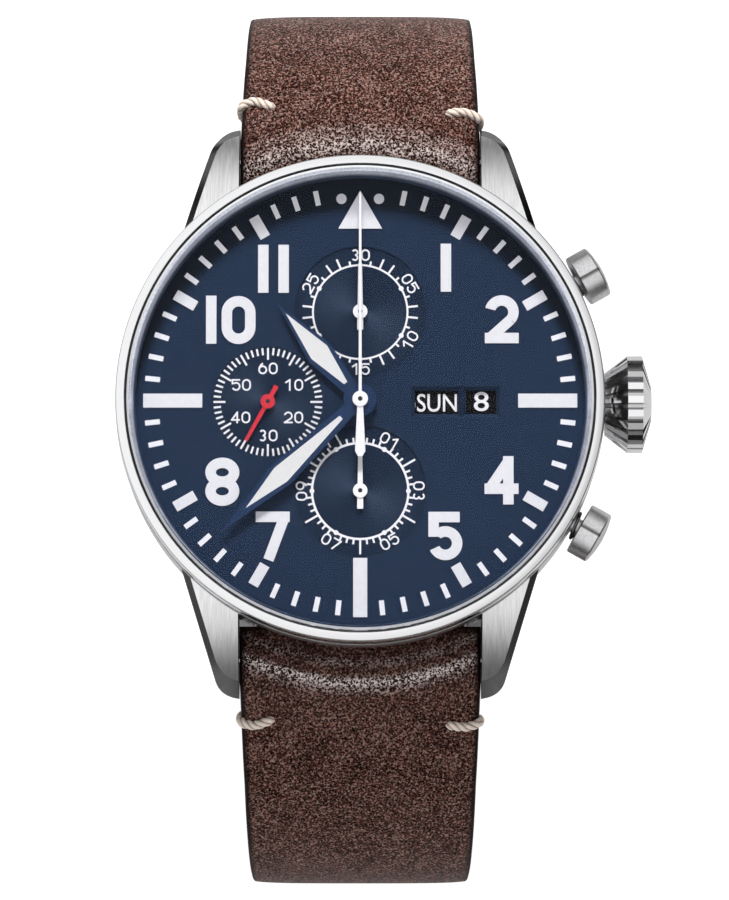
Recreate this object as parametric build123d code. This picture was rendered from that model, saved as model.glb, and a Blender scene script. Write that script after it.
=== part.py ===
from build123d import *
import math
import os

os.makedirs("parts", exist_ok=True)

# Millimetres. +Z is up and is the way the dial faces, +Y is 12 o'clock, +X is the crown side.
# The origin lies on the plane the buckled watch stands on, under the centre of the dial.
# A level is a height above the underside of the case back, which sits case_lift above the origin.

overrun = 60.0          # how far a cutting tool runs past the body it cuts
pivot_gap = 0.04        # running clearance of an arbor in its hole
seat_gap = 0.05         # clearance of a part dropped into a bore

# Case
case_lift = 41.0
case_radius = 22.05
case_low, case_high = 1.2, 10.8
case_flank_low, case_flank_high = 2.6, 10.25
case_foot_radius, case_shoulder_radius = 20.9, 21.7
bore_radius = 18.6
dial_seat_radius, dial_seat_level = 20.45, 9.8
lug_gap_half = 11.0
lug_plan = ((11.0, 12.0), (16.6, 11.4), (17.4, 13.85), (13.2, 24.6), (12.85, 25.25),
            (12.3, 25.78), (11.7, 26.07), (11.0, 26.15))
lug_top = ((11.4, 10.15), (19.6, 8.9), (24.9, 5.0))
lug_low = -0.8
lug_bottom = ((26.15, 0.2), (25.9, lug_low), (24.2, lug_low), (17.0, 1.2), (11.4, 1.2))
lug_bevel = 0.5
strap_recess_y, strap_recess_high = 19.5, 7.4
spring_bar_y, spring_bar_level = 22.8, 2.2
spring_bar_radius, spring_bar_tip_radius = 0.9, 0.45
spring_bar_half, spring_bar_tip_half = 10.75, 12.2
spring_bar_hole_radius, spring_bar_hole_half = 0.5, 12.4

# Bezel, crystal and flange
bezel_radius, bezel_top_radius, bezel_bore = 21.85, 21.05, 20.88
bezel_low, bezel_high, bezel_band_high = 10.8, 13.6, 12.3
crystal_radius, crystal_low, crystal_high, crystal_bevel = 20.62, 12.4, 14.3, 0.55
crystal_dome = 0.25
rehaut_radius, rehaut_low, rehaut_step = 20.84, 10.2, 10.84
rehaut_foot_radius, rehaut_bore_low, rehaut_bore_high = 20.4, 20.0, 20.32

# Case back
back_flange_radius, back_plug_radius = 19.4, 18.55
back_plug_high, back_window_radius, back_bore_radius = 2.85, 14.2, 15.3
back_glass_radius, back_glass_low, back_glass_high = 14.9, 0.3, 1.1
back_notch_width, back_notch_depth = 2.4, 0.5
gasket_side_gap = 0.05

# Crown, stem and pushers: all lie at stem_level, along lines through the dial axis
stem_level = 7.2
crown_neck_radius, crown_cone_radius, crown_band_radius, crown_face_radius = 2.87, 4.28, 4.37, 1.5
crown_in, crown_cone_x, crown_band_x, crown_rim_x, crown_face_x = 22.35, 23.95, 24.0, 25.4, 26.3
crown_flute_radius = 3.85
crown_bore_radius, crown_bore_end = 1.75, 24.3
crown_tube_radius, crown_tube_bore, crown_tube_in, crown_tube_out = 1.5, 0.8, 16.6, 23.9
stem_radius, stem_in = 0.5, 9.0
stem_groove_x, stem_groove_width, stem_groove_radius = 11.4, 0.8, 0.3
lever_size = (2.6, 2.2, 0.25)
lever_fork_width, lever_gap = 0.7, 0.06
lever_pocket = (5.2, 3.0)
pusher_angle_top, pusher_angle_low = 29.5, -29.5
pusher_cap_radius, pusher_cap_in, pusher_cap_out, pusher_dome = 2.4, 22.75, 24.75, 0.35
pusher_stem_radius, pusher_stem_in = 0.75, 16.1
pusher_tube_radius, pusher_tube_bore, pusher_tube_in, pusher_tube_floor, pusher_tube_out = (
    1.9, 1.6, 18.3, 19.0, 21.95)
pusher_spring_radius, pusher_spring_wire, pusher_spring_turns = 1.2, 0.14, 6
stem_passage_radius = 0.95

# Dial
dial_radius, dial_thick = 20.4, 0.4
dial_bore = 1.3
subdial_sink = 0.15
minute_counter_at, minute_counter_radius = (0, 8.05), 5.95
hour_counter_at, hour_counter_radius = (0, -8.15), 5.97
seconds_at, seconds_radius = (-8.3, -0.1), 5.0
subdial_bore = 0.3
day_window_x, date_window_x, window_y = (4.92, 8.81), (9.51, 12.24), (-1.15, 0.95)
window_bevel = 0.34
marker_thick, print_thick = 0.12, 0.04

# Markers and numerals
triangle_apex, triangle_base, triangle_width = 19.05, 15.6, 3.95
dot_x, dot_y, dot_radius = 1.69, 18.3, 0.46
long_bar_in, long_bar_out, long_bar_width = 14.2, 19.5, 1.26
block_in, block_out, block_width = 17.1, 19.2, 0.96
tick_in, tick_out, tick_width = 18.1, 19.43, 0.46
numeral_size, numeral_stroke = (3.05, 4.35), 0.94
numeral_one_width = 0.94
numeral_places = (("2", 12.74, 7.37), ("4", 12.69, -7.2), ("5", 7.64, -12.22), ("7", -7.85, -12.2),
                  ("8", -12.38, -7.33), ("0", -10.95, 7.3))
numeral_ones = ((-13.41, 7.33), (-8.73, 11.95), (-6.9, 11.95), (7.72, 12.05))
small_size, small_stroke, small_pitch = (0.8, 1.06), 0.15, 0.94
minute_circle, minute_circle_width = 4.26, 0.17
minute_short_out, minute_long_out, minute_numeral_radius = 4.69, 5.22, 5.17
hour_circle, hour_circle_width = 4.33, 0.2
hour_short_out, hour_long_out, hour_numeral_radius = 4.84, 5.7, 5.27
seconds_out, seconds_minor_in, seconds_major_in = 4.9, 4.25, 3.82
scale_line, scale_dot = 0.18, 0.22
seconds_numerals = (("60", 0, 3.04), ("10", 2.3, 1.54), ("20", 2.3, -1.4), ("30", 0, -3.04),
                    ("40", -2.45, -1.4), ("50", -2.4, 1.54))

# Hands: (half width, distance from the hub) pairs of one side, root to tip
hour_hand_turn, minute_hand_turn, small_seconds_turn = 319.4, 226.3, 209.0
hour_hand_side = ((0.62, 1.0), (1.27, 5.65), (0, 11.4))
hour_lume_side = ((0.18, 2.0), (0.93, 5.65), (0, 10.3))
minute_hand_side = ((0.6, 1.0), (1.2, 9.85), (0, 17.2))
minute_lume_side = ((0.2, 2.36), (0.84, 9.85), (0, 14.2))
chrono_hand_side = ((0.24, -5.2), (0.465, -4.75), (0.37, 0), (0.17, 0.05), (0.11, 18.7))
counter_hand_side = ((0.27, -1.64), (0.27, -0.3), (0.24, 0.3), (0.17, 4.35))
seconds_hand_side = ((0.215, -1.6), (0.2, -0.3), (0.19, 0.3), (0.15, 4.05))
hand_thick, hub_thick = 0.16, 0.3
hour_hub, minute_hub, chrono_hub, counter_hub = 1.5, 1.45, 0.7, 0.65
counter_hand_level, hour_hand_level, minute_hand_level, chrono_hand_level = 10.42, 10.8, 11.2, 11.65

# Calendar
date_out, date_in, date_teeth = 12.7, 9.35, 31
day_at, day_out, day_in, day_teeth = (1.93, -0.12), 7.0, 2.96, 14
disc_low, disc_high, date_tooth, day_tooth = 9.25, 9.5, 0.3, 0.1

# Movement
plate_radius, plate_low, plate_high = 14.9, 6.6, 9.2
ring_radius, ring_bore, ring_low = 18.55, 14.95, 2.9
recess_level = 8.05
arbor_radius, arbor_end_level = 0.2, 7.4
centre_tube_out, centre_tube_in = 0.4, 0.25
cannon_out, cannon_in, hour_pipe_out, hour_pipe_in = 0.65, 0.42, 0.95, 0.7
cannon_low, cannon_teeth_high = 8.15, 8.45
minute_wheel_at, minute_wheel_low, minute_wheel_high, minute_pinion_high = (1.6, 2.77), 8.2, 8.4, 8.8
hour_wheel_low, hour_wheel_high = 8.48, 8.73
motion_recess, counter_recess = 2.95, 2.9
counter_wheel_low, counter_wheel_high = 8.3, 8.5
cannon_pitch, minute_wheel_pitch, hour_wheel_pitch, minute_pinion_pitch = 0.8, 2.4, 2.56, 0.64
third_at, escape_at, pallet_at = (-4.534, -4.103), (-12.24, 2.17), (-9.65, 4.67)
balance_at, barrel_at = (-6.6, 7.6), (5.95, -3.2)
train_low, train_high = 4.35, 6.55
centre_wheel_pitch, centre_wheel_low, centre_wheel_high, centre_pinion_pitch = 5.4, 6.0, 6.2, 0.84
centre_pinion_low, centre_pinion_high = 4.45, 4.9
third_wheel_pitch, third_wheel_low, third_wheel_high = 4.85, 5.3, 5.5
third_pinion_pitch, third_pinion_high = 0.67, 6.35
fourth_wheel_pitch, fourth_wheel_low, fourth_wheel_high = 4.2, 4.7, 4.9
fourth_pinion_pitch, fourth_pinion_high = 0.62, 5.6
escape_pinion_pitch, escape_pinion_high = 0.35, 5.1
escape_wheel_radius, escape_wheel_root, escape_wheel_low, escape_wheel_high = 2.0, 1.5, 5.9, 6.05
pallet_arm, pallet_stone, pallet_width, pallet_fork_end = 1.5, 2.2, 0.4, 3.1
balance_radius, balance_rim, balance_low, balance_high = 3.9, 0.5, 5.05, 5.5
roller_radius, roller_low, roller_high = 0.75, 5.65, 5.8
hairspring_in, hairspring_out, hairspring_low, hairspring_high, hairspring_wire = 0.45, 2.4, 4.5, 4.7, 0.05
barrel_pitch, barrel_drum, barrel_low, barrel_teeth_high, barrel_high = 5.85, 5.4, 4.5, 4.8, 5.85
barrel_arbor = 1.0
bridge_low, bridge_high = 3.35, 4.3
bridge_arm, bridge_boss, pillar_radius, screw_radius, screw_head_radius = 1.5, 1.5, 0.8, 0.45, 0.85
bridge_pillars = ((12.9, -3.6), (-3.6, -12.6), (3.0, 12.6))
cock_pillar = (-11.5, 6.6)
screw_head_high, screw_slot = 0.3, 0.2
jewel_radius, jewel_bore, jewel_thick = 0.55, 0.15, 0.25
chrono_wheel_low, chrono_wheel_high, chrono_wheel_pitch, minute_counter_pitch = 2.98, 3.2, 3.6, 2.7
chrono_arbor = 0.2
auto_bridge_low, auto_bridge_high, auto_bridge_half, auto_bridge_end = 2.6, 2.85, 2.4, 14.3
auto_posts, auto_post_radius = ((12.9, -3.6), (-11.9, 1.3)), 0.9
rotor_radius, rotor_weight_in, rotor_weight_low, rotor_weight_high = 14.4, 11.6, 1.4, 2.45
rotor_plate_low, rotor_plate_high, rotor_hub_radius, rotor_bore = 2.05, 2.35, 2.6, 1.35
rotor_window_in, rotor_window_out = 4.6, 10.2
bearing_radius, bearing_low, bearing_flange, bearing_lip = 1.3, 1.7, 1.9, 0.2

# Strap: (y, z, thickness) along the middle of each half, z above the standing plane
strap_12_path = ((19.78, 43.35, 4.5), (22.8, 43.2, 4.6), (28.4, 41.3, 4.0), (33.6, 36.9, 3.2),
                 (36.9, 31.2, 2.8), (37.6, 25.2, 2.6), (36.0, 17.8, 2.5), (31.2, 10.6, 2.4),
                 (24.6, 6.2, 2.3), (17.6, 4.8, 2.2), (10.0, 4.8, 2.2), (1.0, 4.8, 2.2), (-7.4, 4.9, 2.3))
strap_6_path = ((-19.78, 43.35, 4.5), (-22.8, 43.2, 4.6), (-29.2, 41.0, 4.0), (-35.4, 36.2, 3.2),
                (-39.6, 29.6, 2.8), (-40.9, 22.4, 2.6), (-39.6, 15.2, 2.5), (-35.2, 9.6, 2.4),
                (-28.2, 6.6, 2.3), (-21.0, 5.2, 2.2), (-16.8, 4.35, 2.1), (-12.6, 3.05, 2.1),
                (-8.6, 2.42, 2.0), (-4.0, 2.4, 2.0), (5.0, 2.4, 2.0), (14.0, 2.4, 2.0),
                (18.6, 2.55, 2.0), (23.0, 3.35, 2.0), (27.6, 5.25, 1.9))
strap_wide_half, strap_narrow_half, strap_wide_z, strap_narrow_z = 10.7, 10.05, 40.0, 22.0
strap_bar_bore = 1.0
strap_samples = 40
strap_tip_corner = 4.0
hole_places, hole_half = (-16.6, -10.1, -3.6, 2.9, 9.4, 15.9), 0.95
stitch_places = (0.098, 0.082)
stitch_thick, stitch_wide, stitch_reach, stitch_clear = 0.8, 0.95, 3.2, 0.04

# Buckle and keepers
buckle_bar_at, buckle_bar_radius, buckle_bar_half = (-8.0, 5.3), 0.75, 11.4
buckle_loop_radius, buckle_loop_bore = 1.6, 0.85
buckle_arm_in, buckle_arm_out, buckle_arm_radius = 10.45, 12.1, 1.5
buckle_front_at, buckle_front_radius = (-16.8, 1.9), 1.0
buckle_notch_half, buckle_notch_high = 0.9, 1.42
tongue_half, tongue_ring, tongue_bore, tongue_slot_half = 0.75, 1.35, 0.8, 1.05
tongue_thick = 0.75
tongue_line = ((-9.0, 5.1), (-10.0, 3.9), (-10.35, 1.3), (-11.2, 0.82), (-17.5, 0.95))
keeper_in_half, keeper_in_low, keeper_in_high, keeper_thick = 10.35, 1.1, 6.2, 1.1
keeper_corner = 1.0
fixed_keeper_y, loose_keeper_y = (-3.2, 2.3), (10.6, 15.6)

# Counts and shares
crown_flutes, escape_teeth, seconds_ticks = 16, 20, 60
centre_teeth, centre_leaves, third_teeth, third_leaves = 72, 12, 75, 9
fourth_teeth, fourth_leaves, escape_leaves, barrel_teeth = 84, 10, 7, 84
cannon_teeth, minute_teeth, minute_leaves, hour_teeth = 10, 30, 8, 32
chrono_teeth, counter_teeth, hairspring_turns = 60, 45, 8
back_notches = 6
tooth_shares = (0.0, 0.22, 0.5, 0.72)
tooth_depth, mesh_gap = 0.18, 0.04
dome_share, bar_tip_share = 0.76, 0.6


def level(height):
    """Height above the standing plane of a level of the watch head."""
    return case_lift + height


def disc(radius, low, high, at=(0, 0)):
    tool = Cylinder(radius, high - low, align=(Align.CENTER, Align.CENTER, Align.MIN))
    return Pos(at[0], at[1], level(low)) * tool


def ring(radius, bore, low, high, at=(0, 0)):
    return disc(radius, low, high, at) - disc(bore, low - overrun, high + overrun, at)


def slab(points, low, high):
    """Upright prism over a plan outline, between two levels."""
    face = make_face(Polyline(*points, close=True))
    return Pos(0, 0, level(low)) * extrude(face, amount=high - low)


def box(x, y, low, high):
    return slab(((x[0], y[0]), (x[1], y[0]), (x[1], y[1]), (x[0], y[1])), low, high)


def polar(radius, degrees, at=(0, 0)):
    turn = math.radians(degrees)
    return at[0] + radius * math.cos(turn), at[1] + radius * math.sin(turn)


def radial_rod(radius, start, end, angle=0.0):
    """Round rod at the height of the stem, pointing out from the dial axis."""
    rod = Pos(0, 0, start) * Cylinder(radius, end - start, align=(Align.CENTER, Align.CENTER, Align.MIN))
    return Rot(0, 0, angle) * (Pos(0, 0, level(stem_level)) * (Rot(0, 90, 0) * rod))


def cross_rod(radius, half, y, z):
    """Round rod along X, centred on the YZ plane."""
    return Pos(0, y, z) * (Rot(0, 90, 0) * Cylinder(radius, 2 * half))


def side_slab(points, half):
    """Prism over an outline in the YZ plane, equally far to both sides."""
    face = make_face(Plane.YZ * Polyline(*points, close=True))
    return extrude(face, amount=half, dir=(1, 0, 0), both=True)


def gear(pitch, teeth, low, high, at=(0, 0), bore=0.0):
    """Toothed wheel whose tips stay just inside the pitch circle."""
    tip = pitch - mesh_gap
    root = tip - tooth_depth
    points = []
    for index in range(teeth):
        for share, radius in zip(tooth_shares, (root, tip, tip, root)):
            points.append(polar(radius, (index + share) * 360 / teeth, at))
    wheel = slab(points, low, high)
    return wheel - disc(bore, low - overrun, high + overrun, at) if bore else wheel


def spiral(start, end, turns, wire, low, high, at):
    """Flat coiled ribbon with its inner and outer sides as smooth curves."""
    steps = int(turns * 10)
    sides = []
    for side in (wire / 2, -wire / 2):
        line = []
        for index in range(steps + 1):
            share = index / steps
            line.append(polar(start + (end - start) * share + side, 360 * turns * share, at))
        sides.append(Spline(*line))
    outer, inner = sides
    ends = [Line(outer @ 0, inner @ 0), Line(outer @ 1, inner @ 1)]
    face = make_face([outer, inner] + ends)
    return Pos(0, 0, level(low)) * extrude(face, amount=high - low)


def lug(side_x, side_y):
    plan = slab([(side_x * x, side_y * y) for x, y in lug_plan], lug_low, case_high)
    top = ThreePointArc(*lug_top)
    drop = Polyline(lug_top[-1], *lug_bottom, lug_top[0])
    outline = make_face([Plane.YZ * top, Plane.YZ * drop])
    side = extrude(outline, amount=overrun, dir=(1, 0, 0), both=True)
    if side_y < 0:
        side = mirror(side, about=Plane.XZ)
    piece = plan & (Pos(0, 0, level(0)) * side)
    top_face = max((face for face in piece.faces() if face.geom_type == GeomType.CYLINDER),
                   key=lambda face: face.area)
    outer = max(top_face.edges(), key=lambda edge: abs((edge @ 0.5).X) + edge.length / 10)
    return chamfer(outer, lug_bevel)


def case_middle():
    outline = ((bore_radius, case_low), (case_foot_radius, case_low), (case_radius, case_flank_low),
               (case_radius, case_flank_high), (case_shoulder_radius, case_high),
               (bore_radius, case_high))
    body = Pos(0, 0, level(0)) * revolve(make_face(Plane.XZ * Polyline(*outline, close=True)), Axis.Z)
    for side_y in (1, -1):
        gap = (strap_recess_y * side_y, overrun * side_y)
        body -= box((-lug_gap_half, lug_gap_half), (min(gap), max(gap)), -overrun, strap_recess_high)
        for side_x in (1, -1):
            body += lug(side_x, side_y)
    body -= disc(bore_radius, -overrun, case_high + overrun)
    body -= disc(dial_seat_radius, dial_seat_level, case_high + overrun)
    for side_y in (1, -1):
        body -= cross_rod(spring_bar_hole_radius, spring_bar_hole_half,
                          spring_bar_y * side_y, level(spring_bar_level))
    body -= radial_rod(crown_tube_radius, crown_tube_in, overrun)
    for angle in (pusher_angle_top, pusher_angle_low):
        body -= radial_rod(pusher_tube_radius, bore_radius - pusher_tube_radius, overrun, angle)
    return body


def bezel():
    outline = ((bezel_bore, bezel_low), (bezel_radius, bezel_low), (bezel_radius, bezel_band_high),
               (bezel_top_radius, bezel_high), (bezel_bore, bezel_high))
    return Pos(0, 0, level(0)) * revolve(make_face(Plane.XZ * Polyline(*outline, close=True)), Axis.Z)


def crystal():
    rim = crystal_high - crystal_dome
    side = Polyline((0, rim + crystal_dome), (0, crystal_low), (crystal_radius, crystal_low),
                    (crystal_radius, rim - crystal_bevel), (crystal_radius - crystal_bevel, rim))
    dome = ThreePointArc((0, crystal_high), (crystal_radius / 2, crystal_high - crystal_dome / 4),
                         (crystal_radius - crystal_bevel, rim))
    return Pos(0, 0, level(0)) * revolve(make_face([Plane.XZ * side, Plane.XZ * dome]), Axis.Z)


def crystal_gasket():
    return ring(bezel_bore - gasket_side_gap, crystal_radius + gasket_side_gap, crystal_low,
                bezel_high - gasket_side_gap)


def rehaut():
    outline = ((rehaut_bore_low, rehaut_low), (rehaut_foot_radius, rehaut_low),
               (rehaut_foot_radius, rehaut_step), (rehaut_radius, rehaut_step),
               (rehaut_radius, crystal_low), (rehaut_bore_high, crystal_low))
    return Pos(0, 0, level(0)) * revolve(make_face(Plane.XZ * Polyline(*outline, close=True)), Axis.Z)


def case_back():
    body = disc(back_flange_radius, 0, case_low) + disc(back_plug_radius, 0, back_plug_high)
    body -= disc(back_window_radius, -overrun, overrun)
    body -= disc(back_glass_radius + seat_gap, back_glass_low, overrun)
    body -= disc(back_bore_radius, back_glass_high, overrun)
    for index in range(back_notches):
        notch = box((back_plug_radius, overrun), (-back_notch_width / 2, back_notch_width / 2),
                    -overrun, back_notch_depth)
        body -= Rot(0, 0, index * 360 / back_notches) * notch
    return body


def back_glass():
    return disc(back_glass_radius, back_glass_low, back_glass_high)


def crown():
    outline = ((0, crown_in), (crown_neck_radius, crown_in), (crown_cone_radius, crown_cone_x),
               (crown_band_radius, crown_band_x), (crown_band_radius, crown_rim_x),
               (crown_face_radius, crown_face_x), (0, crown_face_x))
    solid = revolve(make_face(Plane.XZ * Polyline(*outline, close=True)), Axis.Z)
    star = []
    for index in range(crown_flutes):
        star.append(polar(crown_band_radius, index * 360 / crown_flutes))
        star.append(polar(crown_flute_radius, (index + 0.5) * 360 / crown_flutes))
    prism = extrude(make_face(Polyline(*star, close=True)), amount=overrun)
    prism += Cylinder(crown_neck_radius, overrun, align=(Align.CENTER, Align.CENTER, Align.MIN))
    solid &= prism
    body = Pos(0, 0, level(stem_level)) * (Rot(0, 90, 0) * solid)
    body -= radial_rod(crown_bore_radius, crown_in - overrun, crown_bore_end)
    return body


def winding_stem():
    body = radial_rod(stem_radius, stem_in, crown_bore_end)
    groove = radial_rod(overrun, stem_groove_x, stem_groove_x + stem_groove_width)
    groove -= radial_rod(stem_groove_radius, stem_groove_x - overrun, overrun)
    return body - groove


def setting_lever():
    """Thin plate over the stem with a fork that sits in the groove of the stem."""
    long, wide, thick = lever_size
    middle = stem_groove_x + stem_groove_width / 2
    low = stem_level + stem_radius + lever_gap
    plate = box((middle - long / 2, middle + long / 2), (-wide / 2, wide / 2), low, low + thick)
    fork = box((stem_groove_x + lever_gap, stem_groove_x + lever_gap + lever_fork_width),
               (-wide / 2, wide / 2), stem_level, low)
    return plate + (fork - radial_rod(stem_groove_radius + lever_gap, 0, overrun))


def crown_tube():
    return radial_rod(crown_tube_radius, crown_tube_in + seat_gap, crown_tube_out) - radial_rod(
        crown_tube_bore, 0, overrun)


def pusher(angle):
    """Turned cap with a domed face and a thin stem that reaches into the case."""
    side = Polyline((0, pusher_cap_out + pusher_dome), (0, pusher_stem_in),
                    (pusher_stem_radius, pusher_stem_in), (pusher_stem_radius, pusher_cap_in),
                    (pusher_cap_radius, pusher_cap_in), (pusher_cap_radius, pusher_cap_out))
    dome = ThreePointArc((0, pusher_cap_out + pusher_dome),
                         (pusher_cap_radius / 2, pusher_cap_out + pusher_dome * dome_share),
                         (pusher_cap_radius, pusher_cap_out))
    solid = revolve(make_face([Plane.XZ * side, Plane.XZ * dome]), Axis.Z)
    return Rot(0, 0, angle) * (Pos(0, 0, level(stem_level)) * (Rot(0, 90, 0) * solid))


def pusher_tube(angle):
    body = radial_rod(pusher_tube_radius, pusher_tube_in, pusher_tube_out, angle)
    body -= radial_rod(pusher_tube_bore, pusher_tube_floor, overrun, angle)
    return body - radial_rod(pusher_stem_radius + pivot_gap, 0, overrun, angle)


def pusher_spring(angle):
    """Coil between the floor of the tube and the underside of the cap."""
    long = pusher_cap_in - pusher_tube_floor - 2 * pusher_spring_wire
    path = Helix(long / pusher_spring_turns, long, pusher_spring_radius)
    profile = Plane(origin=path @ 0, z_dir=path % 0) * Circle(pusher_spring_wire)
    coil = sweep(profile, path=path)
    coil = Rot(0, 90, 0) * (Pos(0, 0, pusher_tube_floor + pusher_spring_wire) * coil)
    return Rot(0, 0, angle) * (Pos(0, 0, level(stem_level)) * coil)


def window_cut(x):
    """Opening in the dial that widens towards the front with a sloping edge."""
    lower = Pos((x[0] + x[1]) / 2, (window_y[0] + window_y[1]) / 2, level(dial_seat_level)) * Rectangle(
        x[1] - x[0], window_y[1] - window_y[0])
    upper = Pos((x[0] + x[1]) / 2, (window_y[0] + window_y[1]) / 2,
                level(dial_seat_level + dial_thick)) * Rectangle(
        x[1] - x[0] + 2 * window_bevel, window_y[1] - window_y[0] + 2 * window_bevel)
    return loft([lower, upper])


def dial():
    top = dial_seat_level + dial_thick
    body = disc(dial_radius, dial_seat_level, top) - disc(dial_bore, 0, overrun)
    for at, radius in ((minute_counter_at, minute_counter_radius), (hour_counter_at, hour_counter_radius),
                       (seconds_at, seconds_radius)):
        body -= disc(radius, top - subdial_sink, top + overrun, at)
        body -= disc(subdial_bore, 0, overrun, at)
    for x in (day_window_x, date_window_x):
        body -= window_cut(x)
    return body


def bar(start, end, width, low, thick):
    """Flat straight stroke between two plan points."""
    long = math.dist(start, end)
    angle = math.degrees(math.atan2(end[1] - start[1], end[0] - start[0]))
    flat = Rot(0, 0, angle) * Rectangle(long, width)
    middle = ((start[0] + end[0]) / 2, (start[1] + end[1]) / 2)
    return Pos(middle[0], middle[1], level(low)) * extrude(flat, amount=thick)


def arc_stroke(centre, radius, start, sweep_angle, width):
    line = CenterArc((centre[0], centre[1], 0), radius, start, sweep_angle)
    return trace(line, line_width=width)


def straight_stroke(start, end, width):
    return trace(Line(start, end), line_width=width)


def glyph(sign, size, width):
    """Plain figure drawn about its own centre out of straight and round strokes."""
    wide, high = size
    round_r = (wide - width) / 2
    small_r = (high - width) / 4
    top = high / 2 - width / 2
    low = -top
    if sign == "0":
        flat = SlotOverall(high, wide, rotation=90)
        return flat - SlotOverall(high - 2 * width, wide - 2 * width, rotation=90)
    if sign == "1":
        post = wide / 6
        flat = straight_stroke((post, high / 2), (post, -high / 2), width)
        return flat + straight_stroke((post, top), (-wide / 3, top - wide / 3), width)
    if sign == "2":
        turn = (0, top - round_r)
        tail = (round_r * math.cos(math.radians(-40)), turn[1] + round_r * math.sin(math.radians(-40)))
        flat = arc_stroke(turn, round_r, -40, 205, width)
        flat += straight_stroke(tail, (-round_r, low), width)
        return flat + Pos(0, low) * Rectangle(wide, width)
    if sign == "3":
        flat = arc_stroke((0, top - small_r), small_r, -90, 240, width)
        return flat + arc_stroke((0, low + small_r), small_r, -150, 240, width)
    if sign == "4":
        post = wide / 5
        cross = low + high / 4.6
        flat = straight_stroke((post, high / 2), (post, -high / 2), width)
        flat += straight_stroke((post, top), (-wide / 2 + width / 2, cross), width)
        return flat + straight_stroke((-wide / 2, cross), (wide / 2, cross), width)
    if sign == "5":
        turn = (0, low + round_r)
        flat = arc_stroke(turn, round_r, -155, 290, width)
        flat += straight_stroke((-round_r, high / 2), (-round_r, turn[1] + round_r * 0.55), width)
        return flat + straight_stroke((-wide / 2, top), (wide / 2 - width / 4, top), width)
    if sign in ("6", "9"):
        turn = (0, low + round_r)
        loop = Circle(round_r + width / 2) - Circle(round_r - width / 2)
        flat = Pos(*turn) * loop
        flat += arc_stroke((round_r, turn[1]), 2 * round_r, 118, 62, width)
        return flat if sign == "6" else Rot(0, 0, 180) * flat
    if sign == "7":
        flat = straight_stroke((-wide / 2, top), (wide / 2, top), width)
        return flat + straight_stroke((wide / 2 - width / 2, top), (-wide / 8, -high / 2), width)
    tall = high / 4 + width / 4
    flat = Sketch()
    for side in (1, -1):
        loop = Ellipse(wide / 2, tall) - Ellipse(wide / 2 - width, tall - width)
        flat += Pos(0, side * (high / 2 - tall)) * loop
    return flat


def raised(flat, low, thick, x=0.0, y=0.0, angle=0.0):
    return Pos(x, y, level(low)) * (Rot(0, 0, angle) * extrude(flat, amount=thick))


def number(text, low, x, y, angle=0.0):
    """Small printed number, its figures side by side about one point."""
    figures = []
    for index, sign in enumerate(text):
        offset = (index - (len(text) - 1) / 2) * small_pitch
        figures.append(Pos(offset, 0, 0) * glyph(sign, small_size, small_stroke))
    return [raised(figure, low, print_thick, x, y, angle) for figure in figures]


def hour_markers():
    low = dial_seat_level + dial_thick
    half = triangle_width / 2
    pieces = [slab(((-half, triangle_base), (half, triangle_base), (0, triangle_apex)),
                   low, low + marker_thick)]
    for side in (1, -1):
        pieces.append(disc(dot_radius, low, low + marker_thick, (side * dot_x, dot_y)))
    for hour in range(1, 12):
        angle = 90 - 30 * hour
        if hour % 3 == 0:
            near, far, width = long_bar_in, long_bar_out, long_bar_width
        else:
            near, far, width = block_in, block_out, block_width
        pieces.append(bar(polar(near, angle), polar(far, angle), width, low, marker_thick))
    return Compound(children=pieces)


def dial_numerals():
    low = dial_seat_level + dial_thick
    pieces = []
    for sign, x, y in numeral_places:
        pieces.append(raised(glyph(sign, numeral_size, numeral_stroke), low, marker_thick, x, y))
    for x, y in numeral_ones:
        flat = Rectangle(numeral_one_width, numeral_size[1])
        pieces.append(raised(flat, low, marker_thick, x, y))
    return Compound(children=pieces)


def minute_ticks():
    low = dial_seat_level + dial_thick
    pieces = []
    for minute in range(seconds_ticks):
        if minute % 5 and minute not in (1, 59):
            angle = 90 - 6 * minute
            pieces.append(bar(polar(tick_in, angle), polar(tick_out, angle), tick_width, low, print_thick))
    return pieces


def scale_ticks(at, low, angles, near, far):
    return [bar(polar(near, angle, at), polar(far, angle, at), scale_line, low, print_thick)
            for angle in angles]


def subdial_scales():
    low = dial_seat_level + dial_thick - subdial_sink
    pieces = []
    half = minute_circle_width / 2
    rim = ring(minute_circle + half, minute_circle - half, low, low + print_thick, minute_counter_at)
    for index in range(30):
        place = index % 5
        angle = 90 - 12 * index
        if place == 0:
            rim += disc(scale_dot, low, low + print_thick, polar(minute_circle, angle, minute_counter_at))
            continue
        far = minute_long_out if place in (2, 3) else minute_short_out
        rim += bar(polar(minute_circle, angle, minute_counter_at), polar(far, angle, minute_counter_at),
                   scale_line, low, print_thick)
    pieces.append(rim)
    half = hour_circle_width / 2
    rim = ring(hour_circle + half, hour_circle - half, low, low + print_thick, hour_counter_at)
    for index in range(48):
        angle = 90 - 7.5 * index
        if index % 8 == 4:
            rim += disc(scale_dot, low, low + print_thick, polar(hour_circle, angle, hour_counter_at))
            continue
        far = hour_long_out if index % 8 == 0 else hour_short_out
        rim += bar(polar(hour_circle, angle, hour_counter_at), polar(far, angle, hour_counter_at),
                   scale_line, low, print_thick)
    pieces.append(rim)
    for index in range(seconds_ticks):
        near = seconds_minor_in if index % 5 else seconds_major_in
        pieces += scale_ticks(seconds_at, low, (90 - 6 * index,), near, seconds_out)
    return pieces


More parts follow.
